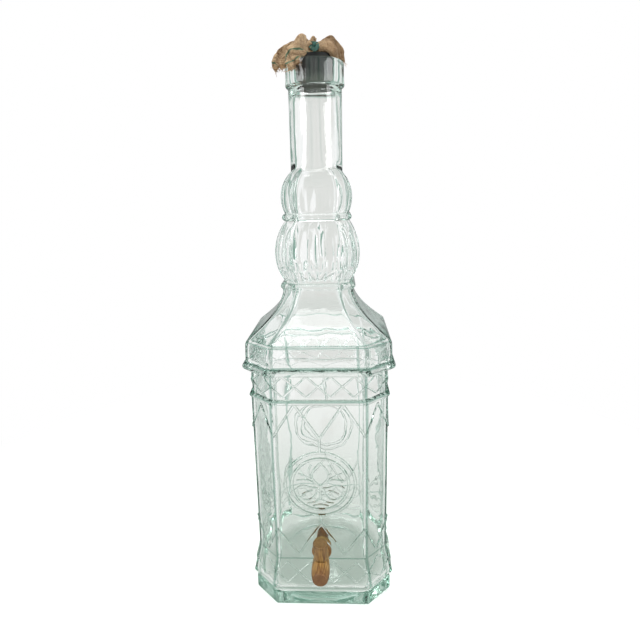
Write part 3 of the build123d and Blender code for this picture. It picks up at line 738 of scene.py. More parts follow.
def buildBottle():
    material = glassMaterial()
    body = bottleBody(material)
    hole = bpy.data.meshes.new("tapHole")
    drill = bpy.data.objects.new("tapHole", hole)
    bpy.context.scene.collection.objects.link(drill)
    sides = 64
    ring = [(bottle["holeRadius"] * math.cos(t), bottle["tapHeight"] + bottle["holeRadius"] * math.sin(t))
            for t in np.arange(sides) * 2 * math.pi / sides]
    points = [(x, y, z) for y in (-90, -60) for x, z in ring]
    faces = [(i, sides + i, sides + (i + 1) % sides, (i + 1) % sides) for i in range(sides)]
    faces += [tuple(range(sides)), tuple(range(sides, 2 * sides))[::-1]]
    hole.from_pydata([tuple(c * millimetre for c in p) for p in points], [], faces)
    tree = reliefTree(material)
    for name, rows, firstSide, sideCount in (("reliefLines", reliefLines(), 0, 4), ("rosette", rosetteLines(), -1, 3)):
        lines = reliefCurves(name, rows)
        modifier = body.modifiers.new(name, "NODES")
        modifier.node_group = tree
        setInput(modifier, "Lines", lines)
        setInput(modifier, "First side", firstSide)
        setInput(modifier, "Sides", sideCount)
        setInput(modifier, "Bead sides", relief["lineSides"])
        bakeModifiers(body)
        bpy.data.objects.remove(lines)
    print("  relief joined:", len(body.data.vertices), "points")
    drilled = body.modifiers.new("tapHole", "BOOLEAN")
    drilled.operation = "DIFFERENCE"
    drilled.solver = "MANIFOLD"
    drilled.object = drill
    bakeModifiers(body)
    print("  tap hole drilled:", len(body.data.vertices), "points")
    bpy.data.objects.remove(drill)
    body.data.shade_smooth()
    body.data.set_sharp_from_angle(angle=math.radians(32))
    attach(body, "bottle")
    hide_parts("glass_bottle")


buildBottle()
print("stage: bottle blown")


# Stopper cloth: a square of loose jute, gathered on the stopper's head and tied there
cloth = {
    "side": 122.0,           # millimetres, cut square
    "cells": 76,
    "thickness": 0.7,
    "pleats": 15,
    "frames": 8,
    "gravity": 0.12,
    "crumple": 2.3,          # how far the folds wander from a regular gather
    "threadPitch": 0.85,
    "colour": "C8AC86",
    "darkThread": "7E6144",
    "paintedFoldShade": "7B5E3E",
    "paintedFoldShadeFrom": (2.0, 20.0),  # millimetres to the right where the painted shade between the folds of the right bunch starts, and where it is full
    "paintedFoldShadeShare": 0.55,
    "stripe": "3F6B52",
    "stripes": (0.060, 0.150, 0.850, 0.940),  # green threads, as shares of the sheet's width
    "stripeWidth": 0.013,
    "frayCount": 420,
    "frayLength": 3.6,
}
# From the middle of the sheet up to the tie, as reach and level
clothFoot = [(0, 626.9), (12, 627.0), (9.5, 630.5), (7.6, 635.0)]
# Direction on the sheet, turn from the front at the tie and further out, and the way out from the tie
clothWays = [
    (0, (-150, -142), [(10, 640), (15, 645), (22, 645), (29, 639), (33, 630), (34, 622)]),
    (45, (-118, -96), [(11, 640), (19, 644), (30, 643), (40, 638), (47, 630), (46, 621), (39, 616), (34, 617)]),
    (90, (-92, -80), [(10, 640), (15, 643), (22, 641), (28, 635), (32, 628), (33, 621)]),
    (135, (-60, -38), [(11, 641), (15, 645), (24, 645), (34, 638), (41, 627), (44, 612), (43, 600)]),
    (180, (-20, 0), [(8.6, 639), (10, 643), (8.5, 646), (4, 648), (-2, 648), (-8, 647)]),
    (225, (45, 68), [(11, 641), (17, 645), (24, 644), (30, 638), (33, 630), (30, 625), (24, 624)]),
    (270, (105, 115), [(10, 641), (15, 646), (21, 646), (27, 641), (30, 633), (29, 626)]),
    (315, (165, 168), [(11, 641), (17, 646), (27, 645), (36, 638), (40, 628), (41, 616), (41, 608)]),
]


def fannedPlace(angle):
    # Which eighth of the sheet a direction lies in, and how far along, with the corners spread wide
    low = int(angle % 360 / 45) % 8
    share = angle % 360 / 45 - low
    return low, share ** 1.9 if low % 2 == 0 else 1 - (1 - share) ** 1.9


def roundAbout(angle, values):
    # Smooth value for a direction on the sheet, from the values at its corners and edges
    low, share = fannedPlace(angle)
    share = share * share * (3 - 2 * share)
    return values[low] * (1 - share) + values[(low + 1) % 8] * share


def wayPoints(angle):
    # The way out for one direction, with a row for every half millimetre of its length
    longest = max(len(way) for corner, turns, way in clothWays)
    keys = []
    for corner, turns, way in clothWays:
        marks = np.linspace(0, len(way) - 1, longest)
        rows = np.array(way, float)
        full = np.column_stack([np.interp(marks, np.arange(len(way)), rows[:, k]) for k in (0, 1)])
        keys.append(np.vstack([np.array(clothFoot, float), full]))
    path = roundAbout(angle, keys)
    ends = []
    for part in (0, 1):
        turns = [pair[part] for corner, pair, way in clothWays] + [clothWays[0][1][part] + 360]
        low, share = fannedPlace(angle)
        ends.append(math.radians(turns[low] * (1 - share) + turns[low + 1] * share))
    points = []
    for place in range(len(path) - 1):
        before, after = path[max(place - 1, 0)], path[min(place + 2, len(path) - 1)]
        b, c = path[place], path[place + 1]
        for share in np.arange(12) / 12:
            points.append(0.5 * (2 * b + (c - before) * share + (2 * before - 5 * b + 4 * c - after) * share**2
                                 + (3 * b - before - 3 * c + after) * share**3))
    points.append(path[-1])
    points = np.array(points)
    length = np.concatenate([[0], np.cumsum(np.linalg.norm(np.diff(points, axis=0), axis=1))])
    marks = np.arange(0, cloth["side"] * 0.75, 0.5)
    slope = (points[-1] - points[-2]) / max(length[-1] - length[-2], 0.001)
    beyond = np.maximum(marks - length[-1], 0)
    rows = np.column_stack([np.interp(marks, length, points[:, k]) + slope[k] * beyond for k in (0, 1)])
    swing = np.clip((marks - tieDistance()) / 25, 0, 1)
    return rows, ends[0] + (ends[1] - ends[0]) * swing * swing * (3 - 2 * swing)


def tieDistance():
    # Distance on the sheet from its middle up to the tie
    steps = np.diff(np.array(clothFoot), axis=0)
    return float(np.sum(np.linalg.norm(steps, axis=1)))


def clothTable():
    # Where every direction and distance of the sheet lies before it settles, with pleats that hold its width
    steps = 720
    table = [wayPoints(360 * place / steps) for place in range(steps)]
    rows = np.array([entry[0] for entry in table])
    turns = np.array([entry[1] for entry in table])
    base = np.stack([rows[:, :, 0] * np.sin(turns), -rows[:, :, 0] * np.cos(turns), rows[:, :, 1]], axis=2)
    marks = np.arange(rows.shape[1]) * 0.5
    around = np.linalg.norm(np.roll(base, -1, axis=0) - np.roll(base, 1, axis=0), axis=2) / (4 * math.pi / steps)
    share = np.clip(around / np.maximum(marks, 0.5), 0, 1)
    depth = marks * math.pi / 2 / cloth["pleats"] * np.sqrt(1 - share**2)
    angles = np.arange(steps) * 2 * math.pi / steps
    wave = np.cos(cloth["pleats"] * angles + 1.1 * np.sin(2 * angles + 1)) * (1 + 0.3 * np.sin(5 * angles + 2))
    wave = wave + 0.25 * np.sin(23 * angles + 0.7) + 0.3 * np.sin(6 * angles + 2.5)
    loosened = np.clip((marks - tieDistance() - 2) / 8, 0, 1)  # under the tie the pleats only fold inwards
    wave = np.where(wave[:, None] > 0, wave[:, None] * loosened, wave[:, None])
    along = np.gradient(rows, axis=1)
    along /= np.maximum(np.linalg.norm(along, axis=2, keepdims=True), 1e-6)
    shift = (depth * wave)[:, :, None] * np.stack([along[:, :, 1], -along[:, :, 0]], axis=2)
    rows = rows + shift
    inside = (rows[:, :, 1] < 622) & (rows[:, :, 0] < 33.2)  # nothing starts inside the glass
    outwards = 33.2 - rows[:, :, 0] < 622 - rows[:, :, 1]
    rows[:, :, 0] = np.where(inside & outwards, 33.2, rows[:, :, 0])
    rows[:, :, 1] = np.where(inside & ~outwards, 622, rows[:, :, 1])
    return np.stack([rows[:, :, 0] * np.sin(turns), -rows[:, :, 0] * np.cos(turns), rows[:, :, 1]], axis=2)


def clothPlace(table, along, across):
    distance = math.hypot(along, across)
    place = (math.degrees(math.atan2(across, along)) % 360) * len(table) / 360
    low, share = int(place) % len(table), place - int(place)
    mark = distance / 0.5
    row = min(int(mark), table.shape[1] - 2)
    part = mark - row
    near = table[low, row] * (1 - part) + table[low, row + 1] * part
    far = table[(low + 1) % len(table), row] * (1 - part) + table[(low + 1) % len(table), row + 1] * part
    return near * (1 - share) + far * share, distance


def latheMesh(name, profile, sides, material, closed=False):
    # Turned shape about the bottle's axis from points (reach, level) in millimetres
    points, faces = [], []
    for reach, level in profile:
        points += [(reach * math.sin(t) * millimetre, -reach * math.cos(t) * millimetre, level * millimetre)
                   for t in np.arange(sides) * 2 * math.pi / sides]
    rows = len(profile)
    for row in range(rows if closed else rows - 1):
        start, end = row * sides, (row + 1) % rows * sides
        faces += [(start + i, start + (i + 1) % sides, end + (i + 1) % sides, end + i) for i in range(sides)]
    return newPiece(name, points, faces, material)


def clothMaterial():
    # Jute: coarse flat threads over and under, each a little darker or lighter, with green threads near two edges and
    # painted shade darkening its right side
    material, tree, output = newMaterial("wovenJute")
    threads = round(cloth["side"] / cloth["threadPitch"])
    place = addNode(tree, "ShaderNodeUVMap", uv_map="weave")
    split = addNode(tree, "ShaderNodeSeparateXYZ", {0: place.outputs[0]})
    tones, ridges = [], []
    for axis, seed in (("X", 3.0), ("Y", 8.0)):
        count = addNode(tree, "ShaderNodeMath", {0: split.outputs[axis], 1: float(threads)}, operation="MULTIPLY")
        row = addNode(tree, "ShaderNodeMath", {0: count.outputs[0]}, operation="FLOOR")
        shade = addNode(tree, "ShaderNodeTexWhiteNoise", {"W": row.outputs[0]}, noise_dimensions="1D")
        tones.append(shade.outputs["Value"])
        turn = addNode(tree, "ShaderNodeMath", {0: count.outputs[0], 1: math.pi}, operation="MULTIPLY")
        hump = addNode(tree, "ShaderNodeMath", {0: turn.outputs[0]}, operation="SINE")
        ridges.append(addNode(tree, "ShaderNodeMath", {0: hump.outputs[0]}, operation="ABSOLUTE").outputs[0])
    over = addNode(tree, "ShaderNodeTexChecker", {"Vector": place.outputs[0], "Scale": float(threads)})
    tone = addNode(tree, "ShaderNodeMix", {0: over.outputs["Fac"], 2: tones[0], 3: tones[1]})
    height = addNode(tree, "ShaderNodeMix", {0: over.outputs["Fac"], 2: ridges[0], 3: ridges[1]})
    solid = addNode(tree, "ShaderNodeTexCoord")
    blotch = addNode(tree, "ShaderNodeTexNoise", {"Vector": solid.outputs["Object"],
                                                  "Scale": 1 / (14 * millimetre), "Detail": 4.0})
    mixed = addNode(tree, "ShaderNodeMath", {0: tone.outputs[0], 1: blotch.outputs["Fac"]}, operation="MULTIPLY")
    strength = addNode(tree, "ShaderNodeMapRange", {"Value": mixed.outputs[0], "From Min": 0.12, "From Max": 0.46})
    tan = addNode(tree, "ShaderNodeMix", {0: strength.outputs[0], 6: linearColour(cloth["colour"]),
                                          7: linearColour(cloth["darkThread"])}, data_type="RGBA")
    # Painted shade: the cloth darkens towards its right side, standing in for the shade between the folds of the right
    # bunch
    sideways = addNode(tree, "ShaderNodeSeparateXYZ", {0: solid.outputs["Object"]})
    near, far = cloth["paintedFoldShadeFrom"]
    paintedFoldShadeAmount = addNode(tree, "ShaderNodeMapRange", {"Value": sideways.outputs["X"], "From Min": near * millimetre,
                                                   "From Max": far * millimetre, "To Max": cloth["paintedFoldShadeShare"]})
    paintedFoldShade = addNode(tree, "ShaderNodeMix", {0: paintedFoldShadeAmount.outputs[0], 6: tan.outputs[2],
                                           7: linearColour(cloth["paintedFoldShade"])}, data_type="RGBA")
    total = None
    for middle in cloth["stripes"]:
        near = addNode(tree, "ShaderNodeMath", {0: split.outputs["X"], 1: middle, 2: cloth["stripeWidth"] / 2},
                       operation="COMPARE")
        if total is None:
            total = near.outputs[0]
        else:
            total = addNode(tree, "ShaderNodeMath", {0: total, 1: near.outputs[0]}, operation="MAXIMUM").outputs[0]
    dyed = addNode(tree, "ShaderNodeMix", {0: total, 6: paintedFoldShade.outputs[2], 7: linearColour(cloth["stripe"])},
                   data_type="RGBA")
    fuzz = addNode(tree, "ShaderNodeTexNoise", {"Vector": solid.outputs["Object"],
                                                "Scale": 1 / (0.5 * millimetre), "Detail": 3.0})
    relief = addNode(tree, "ShaderNodeMath", {0: height.outputs[0], 1: fuzz.outputs["Fac"]}, operation="ADD")
    bump = addNode(tree, "ShaderNodeBump", {"Strength": 0.7, "Distance": 0.0004, "Height": relief.outputs[0]})
    finish = addNode(tree, "ShaderNodeBsdfPrincipled", {"Base Color": dyed.outputs[2], "Roughness": 0.88,
                                                        "Sheen Weight": 0.12, "Normal": bump.outputs[0]})
    through = addNode(tree, "ShaderNodeBsdfTranslucent", {"Color": linearColour("B8743C"),
                                                          "Normal": bump.outputs[0]})
    thin = addNode(tree, "ShaderNodeMixShader", {0: 0.22, 1: finish.outputs[0], 2: through.outputs[0]})
    tree.links.new(thin.outputs[0], output.inputs["Surface"])
    return material


def threadMaterial(name, colour, darker):
    # Loose yarn: twisted fibres, darker between the strands
    material, tree, output = newMaterial(name)
    solid = addNode(tree, "ShaderNodeTexCoord")
    strand = addNode(tree, "ShaderNodeTexNoise", {"Vector": solid.outputs["Object"],
                                                  "Scale": 1 / (1.2 * millimetre), "Detail": 4.0})
    tone = addNode(tree, "ShaderNodeMix", {0: strand.outputs["Fac"], 6: linearColour(colour),
                                           7: linearColour(darker)}, data_type="RGBA")
    bump = addNode(tree, "ShaderNodeBump", {"Strength": 0.6, "Distance": 0.0003, "Height": strand.outputs["Fac"]})
    finish = addNode(tree, "ShaderNodeBsdfPrincipled", {"Base Color": tone.outputs[2], "Roughness": 0.85,
                                                        "Sheen Weight": 0.15, "Normal": bump.outputs[0]})
    tree.links.new(finish.outputs[0], output.inputs["Surface"])
    return material


def frayTree(material):
    # Loose threads at the cut edge: one short bent thread on each picked edge point, pointing outwards
    tree = bpy.data.node_groups.new("clothFray", "GeometryNodeTree")
    face = tree.interface
    face.new_socket("Geometry", in_out="INPUT", socket_type="NodeSocketGeometry")
    for socketName in ("Length", "Thickness", "Spread"):
        face.new_socket(socketName, in_out="INPUT", socket_type="NodeSocketFloat")
    face.new_socket("Seed", in_out="INPUT", socket_type="NodeSocketInt")
    face.new_socket("Geometry", in_out="OUTPUT", socket_type="NodeSocketGeometry")
    given = addNode(tree, "NodeGroupInput").outputs
    outward = addNode(tree, "GeometryNodeInputNamedAttribute", {"Name": "outward"}, data_type="FLOAT_VECTOR")
    stray = addNode(tree, "FunctionNodeRandomValue", {"Min": (-1, -1, -1), "Max": (1, 1, 1), "Seed": given["Seed"]},
                    data_type="FLOAT_VECTOR")
    spread = addNode(tree, "ShaderNodeVectorMath", {0: stray.outputs[0], "Scale": given["Spread"]},
                     operation="SCALE")
    heading = addNode(tree, "ShaderNodeVectorMath", {0: outward.outputs[0], 1: spread.outputs[0]})
    turned = addNode(tree, "FunctionNodeAlignRotationToVector", {"Vector": heading.outputs[0]}, axis="Z")
    size = addNode(tree, "FunctionNodeRandomValue", {2: 0.35, 3: 1.6, "Seed": given["Seed"]})
    thread = addNode(tree, "GeometryNodeCurvePrimitiveBezierSegment", {
        "Resolution": 5, "Start": (0, 0, -0.15), "Start Handle": (0, 0, 0.35), "End Handle": (0.12, 0, 0.7),
        "End": (0.34, 0, 0.95)})
    scale = addNode(tree, "ShaderNodeMath", {0: size.outputs[1], 1: given["Length"]}, operation="MULTIPLY")
    placed = addNode(tree, "GeometryNodeInstanceOnPoints", {"Points": given["Geometry"],
                                                            "Instance": thread.outputs[0],
                                                            "Rotation": turned.outputs[0],
                                                            "Scale": scale.outputs[0]})
    real = addNode(tree, "GeometryNodeRealizeInstances", {"Geometry": placed.outputs[0]})
    section = addNode(tree, "GeometryNodeCurvePrimitiveCircle", {"Resolution": 5, "Radius": given["Thickness"]})
    tube = addNode(tree, "GeometryNodeCurveToMesh", {"Curve": real.outputs[0], "Profile Curve": section.outputs[0],
                                                     "Fill Caps": True})
    painted = addNode(tree, "GeometryNodeSetMaterial", {"Geometry": tube.outputs[0], "Material": material})
    addNode(tree, "NodeGroupOutput", {0: painted.outputs[0]})
    return tree


def buildFray(edge):
    # Points along the cut edge, each with the direction that leads out of the sheet
    points, headings = [], []
    count = len(edge)
    steps = np.linspace(0, count, cloth["frayCount"], endpoint=False)
    for step in steps:
        at, inner = edge[int(step) % count]
        after, innerAfter = edge[(int(step) + 1) % count]
        share = step - int(step)
        points.append(tuple(at.lerp(after, share)))
        headings.append((at - inner).lerp(after - innerAfter, share).normalized())
    fray = newPiece("clothFray", points, [], None)
    store = fray.data.attributes.new("outward", "FLOAT_VECTOR", "POINT")
    for item, heading in zip(store.data, headings):
        item.vector = heading
    modifier = fray.modifiers.new("clothFray", "NODES")
    modifier.node_group = frayTree(threadMaterial("juteThread", "BE9A6C", "86623F"))
    setInput(modifier, "Length", cloth["frayLength"] * millimetre)
    setInput(modifier, "Thickness", 0.16 * millimetre)
    setInput(modifier, "Spread", 0.75)
    setInput(modifier, "Seed", 5)
    bakeModifiers(fray)
    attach(fray, "stopper")
    return fray


def buildCloth():
    material = clothMaterial()
    cells, side = cloth["cells"], cloth["side"]
    table = clothTable()
    tieMark = tieDistance()
    flat, start, pins = [], [], []
    for row in range(cells + 1):
        for column in range(cells + 1):
            along, across = (column / cells - 0.5) * side, (row / cells - 0.5) * side
            place, distance = clothPlace(table, along, across)
            flat.append((along * millimetre, across * millimetre, 0.7))
            loose = cloth["crumple"] * float(np.clip((distance - tieMark) / 14, 0, 1))
            place = place + loose * np.array(noise.noise_vector(Vector(place) / 9)) \
                + 0.45 * loose * np.array(noise.noise_vector(Vector(place) / 4))
            start.append(tuple(place * millimetre))
            pins.append(float(np.clip((tieMark + 4 - distance) / 3, 0, 1)))
    width = cells + 1
    faces = [(row * width + column, row * width + column + 1, (row + 1) * width + column + 1,
              (row + 1) * width + column) for row in range(cells) for column in range(cells)]
    sheet = newPiece("stopperCloth", start, faces, material)
    uv = sheet.data.uv_layers.new(name="weave")
    for loop in sheet.data.loops:
        uv.data[loop.index].uv = (flat[loop.vertex_index][0] / millimetre / side + 0.5,
                                  flat[loop.vertex_index][1] / millimetre / side + 0.5)
    settleCloth(sheet, flat, pins)
    ring = [(0, i) for i in range(cells)] + [(i, cells) for i in range(cells)]
    ring += [(cells, cells - i) for i in range(cells)] + [(cells - i, 0) for i in range(cells)]
    edge = []
    for row, column in ring:
        inside = min(max(row, 2), cells - 2) * width + min(max(column, 2), cells - 2)
        edge.append((sheet.data.vertices[row * width + column].co.copy(), sheet.data.vertices[inside].co.copy()))
    fray = buildFray(edge)
    finer = sheet.modifiers.new("finer", "SUBSURF")
    finer.levels = finer.render_levels = 1
    thick = sheet.modifiers.new("thickness", "SOLIDIFY")
    thick.thickness = cloth["thickness"] * millimetre
    thick.offset = 0
    bakeModifiers(sheet)
    sheet.data.shade_smooth()
    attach(sheet, "stopper")
    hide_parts("stopper_cloth")
    return sheet


def clearOfGlass(place):
    # Cloth that sank in is laid on the stopper's head, on the lip, or down the outside of the lip
    reach, level = math.hypot(place.x, place.y) / millimetre, place.z / millimetre
    if reach < 32.8 and 32.8 - reach < 621.3 - level:
        reach = 32.8 + 0.05 * (32.8 - reach)
    elif reach < 21.3:
        level = max(level, 627.1)
    elif reach < 32:
        level = max(level, 621.3)
    share = reach / max(math.hypot(place.x, place.y) / millimetre, 0.01)
    return Vector((place.x * share, place.y * share, level * millimetre))


def settleCloth(sheet, flat, pins):
    # A short cloth simulation lets the gathered sheet find its own folds
    group = sheet.vertex_groups.new(name="tied")
    for index, weight in enumerate(pins):
        if weight > 0:
            group.add([index], weight, "REPLACE")
    sheet.shape_key_add(name="gathered", from_mix=False)
    cut = sheet.shape_key_add(name="cut", from_mix=False)
    for point, place in zip(cut.data, flat):
        point.co = place
    cut.value = 0.0
    blocks = [latheMesh("lipBlock", [(0.1, 626.3), (20.5, 626.3), (21.5, 620.4), (29, 620.2), (31.3, 618), (31.6, 600),
                                     (29, 594), (29, 560)], 48, None)]
    for block in blocks:
        block.modifiers.new("hit", "COLLISION")
        block.collision.thickness_outer = 0.0006
        block.collision.thickness_inner = 0.002
    fold = sheet.modifiers.new("fold", "CLOTH")
    settings = fold.settings
    settings.quality = 5
    settings.mass = 0.25
    settings.tension_stiffness = 12
    settings.compression_stiffness = 1.5
    settings.shear_stiffness = 2
    settings.bending_stiffness = 4
    settings.tension_damping = settings.compression_damping = settings.shear_damping = 8
    settings.air_damping = 2
    settings.vertex_group_mass = "tied"
    settings.rest_shape_key = cut
    settings.effector_weights.gravity = cloth["gravity"]
    fold.collision_settings.distance_min = 0.0008
    fold.point_cache.frame_start = 1
    fold.point_cache.frame_end = cloth["frames"]
    for frameNumber in range(1, cloth["frames"] + 1):
        bpy.context.scene.frame_set(frameNumber)
    graph = bpy.context.evaluated_depsgraph_get()
    mesh = bpy.data.meshes.new_from_object(sheet.evaluated_get(graph), depsgraph=graph)
    sheet.modifiers.clear()
    sheet.shape_key_clear()
    sheet.vertex_groups.clear()
    sheet.data = mesh
    for point in mesh.vertices:
        point.co = clearOfGlass(point.co)
    bpy.context.scene.frame_set(1)
    for block in blocks:
        bpy.data.objects.remove(block)


# Ribbon that ties the cloth: a flat band of green raffia with a knot and two tails in front
ribbon = {
    "reach": 10.4,
    "level": 634.9,
    "width": 4.6,
    "thickness": 0.5,
    "colour": "2F6A5C",
    "darkColour": "14332C",
    # Folded ends of the band: points of the middle line with the width there
    "tails": [
        [(-4.6, -10.6, 635.0, 4.4), (-2.6, -12.4, 632.4, 4.6), (-0.4, -13.6, 629.4, 3.6), (1.0, -14.4, 626.6, 1.2)],
        [(6.4, -10.6, 635.4, 4.4), (5.0, -12.6, 632.6, 4.6), (2.6, -13.9, 629.6, 3.6), (1.2, -14.6, 627.2, 1.2)],
        [(0.8, -11.8, 633.6, 6.4), (0.9, -12.6, 631.2, 5.4), (1.0, -13.2, 628.6, 2.0)],
        [(-7.6, -8.8, 634.6, 3.4), (-9.6, -11.0, 634.0, 3.2), (-12.0, -13.6, 631.6, 2.8), (-14.6, -15.6, 630.6, 2.0)],
    ],
}


def ribbonMaterial():
    material, tree, output = newMaterial("greenRaffia")
    solid = addNode(tree, "ShaderNodeTexCoord")
    stretched = addNode(tree, "ShaderNodeMapping", {"Vector": solid.outputs["Object"], "Scale": (300, 300, 2500)})
    fibre = addNode(tree, "ShaderNodeTexNoise", {"Vector": stretched.outputs[0], "Scale": 1.0, "Detail": 4.0})
    tone = addNode(tree, "ShaderNodeMix", {0: fibre.outputs["Fac"], 6: linearColour(ribbon["darkColour"]),
                                           7: linearColour(ribbon["colour"])}, data_type="RGBA")
    bump = addNode(tree, "ShaderNodeBump", {"Strength": 0.5, "Distance": 0.0003, "Height": fibre.outputs["Fac"]})
    finish = addNode(tree, "ShaderNodeBsdfPrincipled", {"Base Color": tone.outputs[2], "Roughness": 0.5,
                                                        "Sheen Weight": 0.2, "Normal": bump.outputs[0]})
    tree.links.new(finish.outputs[0], output.inputs["Surface"])
    return material


def stripMesh(name, middle, across, widths, material, closed=False):
    # Flat band along a line of points, with the direction across it and its width at each point
    points, faces = [], []
    columns = 5
    for place, side, width in zip(middle, across, widths):
        for column in range(columns):
            share = column / (columns - 1) - 0.5
            points.append(tuple((place + side * width * share) * millimetre))
    rows = len(middle)
    for row in range(rows if closed else rows - 1):
        for column in range(columns - 1):
            a, b = row * columns + column, (row + 1) % rows * columns + column
            faces.append((a, a + 1, b + 1, b))
    strip = newPiece(name, points, faces, material)
    thick = strip.modifiers.new("thickness", "SOLIDIFY")
    thick.thickness = ribbon["thickness"] * millimetre
    thick.offset = 0
    finer = strip.modifiers.new("finer", "SUBSURF")
    finer.levels = finer.render_levels = 1
    bakeModifiers(strip)
    strip.data.shade_smooth()
    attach(strip, "stopper")
    return strip


def buildRibbon():
    material = ribbonMaterial()
    for turn, (rise, shift) in enumerate(((0.0, 0.0), (0.9, 0.35))):
        middle, across = [], []
        for t in np.arange(72) * 2 * math.pi / 72:
            reach = ribbon["reach"] + shift + 0.25 * math.sin(7 * t + turn) + 0.15 * math.sin(17 * t)
            level = ribbon["level"] + rise * math.cos(t + 0.6) + 0.3 * math.sin(3 * t + turn)
            middle.append(Vector((reach * math.sin(t), -reach * math.cos(t), level)))
            lean = 0.25 * math.sin(4 * t + 2 * turn)
            across.append(Vector((lean * math.sin(t), -lean * math.cos(t), 1)).normalized())
        widths = [ribbon["width"] * (1 - 0.2 * turn)] * len(middle)
        band = stripMesh("tieBand" + str(turn + 1), middle, across, widths, material, True)
        if turn == 0:
            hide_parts("stopper_tie")
    # Knot: the band wrapped over itself in front, drawn in at its middle
    middle, across = [], []
    for t in np.arange(28) * 2 * math.pi / 28:
        middle.append(Vector((1.0 + 0.5 * math.sin(t), -12.0 - 1.1 * math.cos(t), ribbon["level"] - 0.6 + 1.9 * math.sin(t))))
        across.append(Vector((1, 0.15 * math.cos(t), 0.25)).normalized())
    stripMesh("tieKnot", middle, across, [4.2] * len(middle), material, True)
    for index, tail in enumerate(ribbon["tails"]):
        path = [Vector(point) for point in tail]
        middle = []
        for piece in range(len(path) - 1):
            before, after = path[max(piece - 1, 0)], path[min(piece + 2, len(path) - 1)]
            b, c = path[piece], path[piece + 1]
            for share in np.arange(6) / 6:
                middle.append(0.5 * (2 * b + (c - before) * share + (2 * before - 5 * b + 4 * c - after) * share**2
                                     + (3 * b - before - 3 * c + after) * share**3))
        middle.append(path[-1])
        widths = [point.w for point in middle]
        middle = [point.to_3d() for point in middle]
        across = []
        for place in range(len(middle)):
            along = middle[min(place + 1, len(middle) - 1)] - middle[max(place - 1, 0)]
            twist = 0.5 * math.sin(place * 0.35 + index)
            across.append(along.cross(Vector((0.2 * twist, -1, twist))).normalized())
        stripMesh("tieTail" + str(index + 1), middle, across, widths, material)


def woodMaterial(name, colours, axis, pith, reach, soaked=None):
    # Turned wood: year rings about a pith beside the piece, fine fibres along it, darker rubbed ends
    material, tree, output = newMaterial(name)
    light, middle, dark, stained = (linearColour(colour) for colour in colours)
    solid = addNode(tree, "ShaderNodeTexCoord")
    along = {"X": (60, 700, 700), "Y": (700, 60, 700), "Z": (700, 700, 60)}[axis]
    flat = {"X": (0, 1, 1), "Y": (1, 0, 1), "Z": (1, 1, 0)}[axis]
    wander = addNode(tree, "ShaderNodeTexNoise", {"Vector": solid.outputs["Object"], "Scale": 55.0, "Detail": 2.0})
    shift = addNode(tree, "ShaderNodeVectorMath", {0: wander.outputs["Color"], 1: (0.004, 0.004, 0.004)},
                    operation="MULTIPLY")
    moved = addNode(tree, "ShaderNodeVectorMath", {0: solid.outputs["Object"], 1: shift.outputs[0]})
    centred = addNode(tree, "ShaderNodeVectorMath", {0: moved.outputs[0], 1: tuple(c * millimetre for c in pith)},
                      operation="SUBTRACT")
    crossed = addNode(tree, "ShaderNodeVectorMath", {0: centred.outputs[0], 1: flat}, operation="MULTIPLY")
    distance = addNode(tree, "ShaderNodeVectorMath", {0: crossed.outputs[0]}, operation="LENGTH")
    years = addNode(tree, "ShaderNodeMath", {0: distance.outputs["Value"], 1: 1 / (1.9 * millimetre)},
                    operation="MULTIPLY")
    year = addNode(tree, "ShaderNodeMath", {0: years.outputs[0]}, operation="FRACT")
    rings = addNode(tree, "ShaderNodeValToRGB", {0: year.outputs[0]})
    for place in (0.72, 0.93):
        rings.color_ramp.elements.new(place)
    for stop, (place, colour) in zip(rings.color_ramp.elements,
                                     ((0.0, light), (0.72, middle), (0.93, dark), (1.0, light))):
        stop.position = place
        stop.color = colour
    stretched = addNode(tree, "ShaderNodeVectorMath", {0: solid.outputs["Object"], 1: along}, operation="MULTIPLY")
    fibre = addNode(tree, "ShaderNodeTexNoise", {"Vector": stretched.outputs[0], "Scale": 1.0, "Detail": 5.0,
                                                 "Roughness": 0.65})
    streak = addNode(tree, "ShaderNodeMapRange", {"Value": fibre.outputs["Fac"], "From Min": 0.42, "From Max": 0.72})
    grain = addNode(tree, "ShaderNodeMix", {0: streak.outputs[0], 6: rings.outputs["Color"], 7: dark},
                    data_type="RGBA")
    stain = addNode(tree, "ShaderNodeTexNoise", {"Vector": solid.outputs["Object"], "Scale": 110.0, "Detail": 3.0})
    wet = addNode(tree, "ShaderNodeMapRange", {"Value": stain.outputs["Fac"], "From Min": 0.5, "From Max": 0.75})
    split = addNode(tree, "ShaderNodeSeparateXYZ", {0: solid.outputs["Object"]})
    ends = addNode(tree, "ShaderNodeMapRange", {"Value": split.outputs[axis], "From Min": reach[0] * millimetre,
                                                "From Max": reach[1] * millimetre, "To Min": 0.0, "To Max": 0.85})
    dark = ends.outputs[0]
    if soaked:  # the part that stands in the drink
        wetter = addNode(tree, "ShaderNodeMapRange", {"Value": split.outputs[axis], "From Min": soaked[0] * millimetre,
                                                      "From Max": soaked[1] * millimetre, "To Min": 0.0, "To Max": 0.9})
        dark = addNode(tree, "ShaderNodeMath", {0: dark, 1: wetter.outputs[0]}, operation="MAXIMUM").outputs[0]
    dirt = addNode(tree, "ShaderNodeMath", {0: wet.outputs[0], 1: 0.45, 2: dark}, operation="MULTIPLY_ADD",
                   use_clamp=True)
    aged = addNode(tree, "ShaderNodeMix", {0: dirt.outputs[0], 6: grain.outputs[2], 7: stained},
                   data_type="RGBA")
    bump = addNode(tree, "ShaderNodeBump", {"Strength": 0.35, "Distance": 0.0004, "Height": fibre.outputs["Fac"]})
    rough = addNode(tree, "ShaderNodeMapRange", {"Value": stain.outputs["Fac"], "To Min": 0.42, "To Max": 0.62})
    finish = addNode(tree, "ShaderNodeBsdfPrincipled", {"Base Color": aged.outputs[2],
                                                        "Roughness": rough.outputs[0], "Normal": bump.outputs[0]})
    tree.links.new(finish.outputs[0], output.inputs["Surface"])
    return material


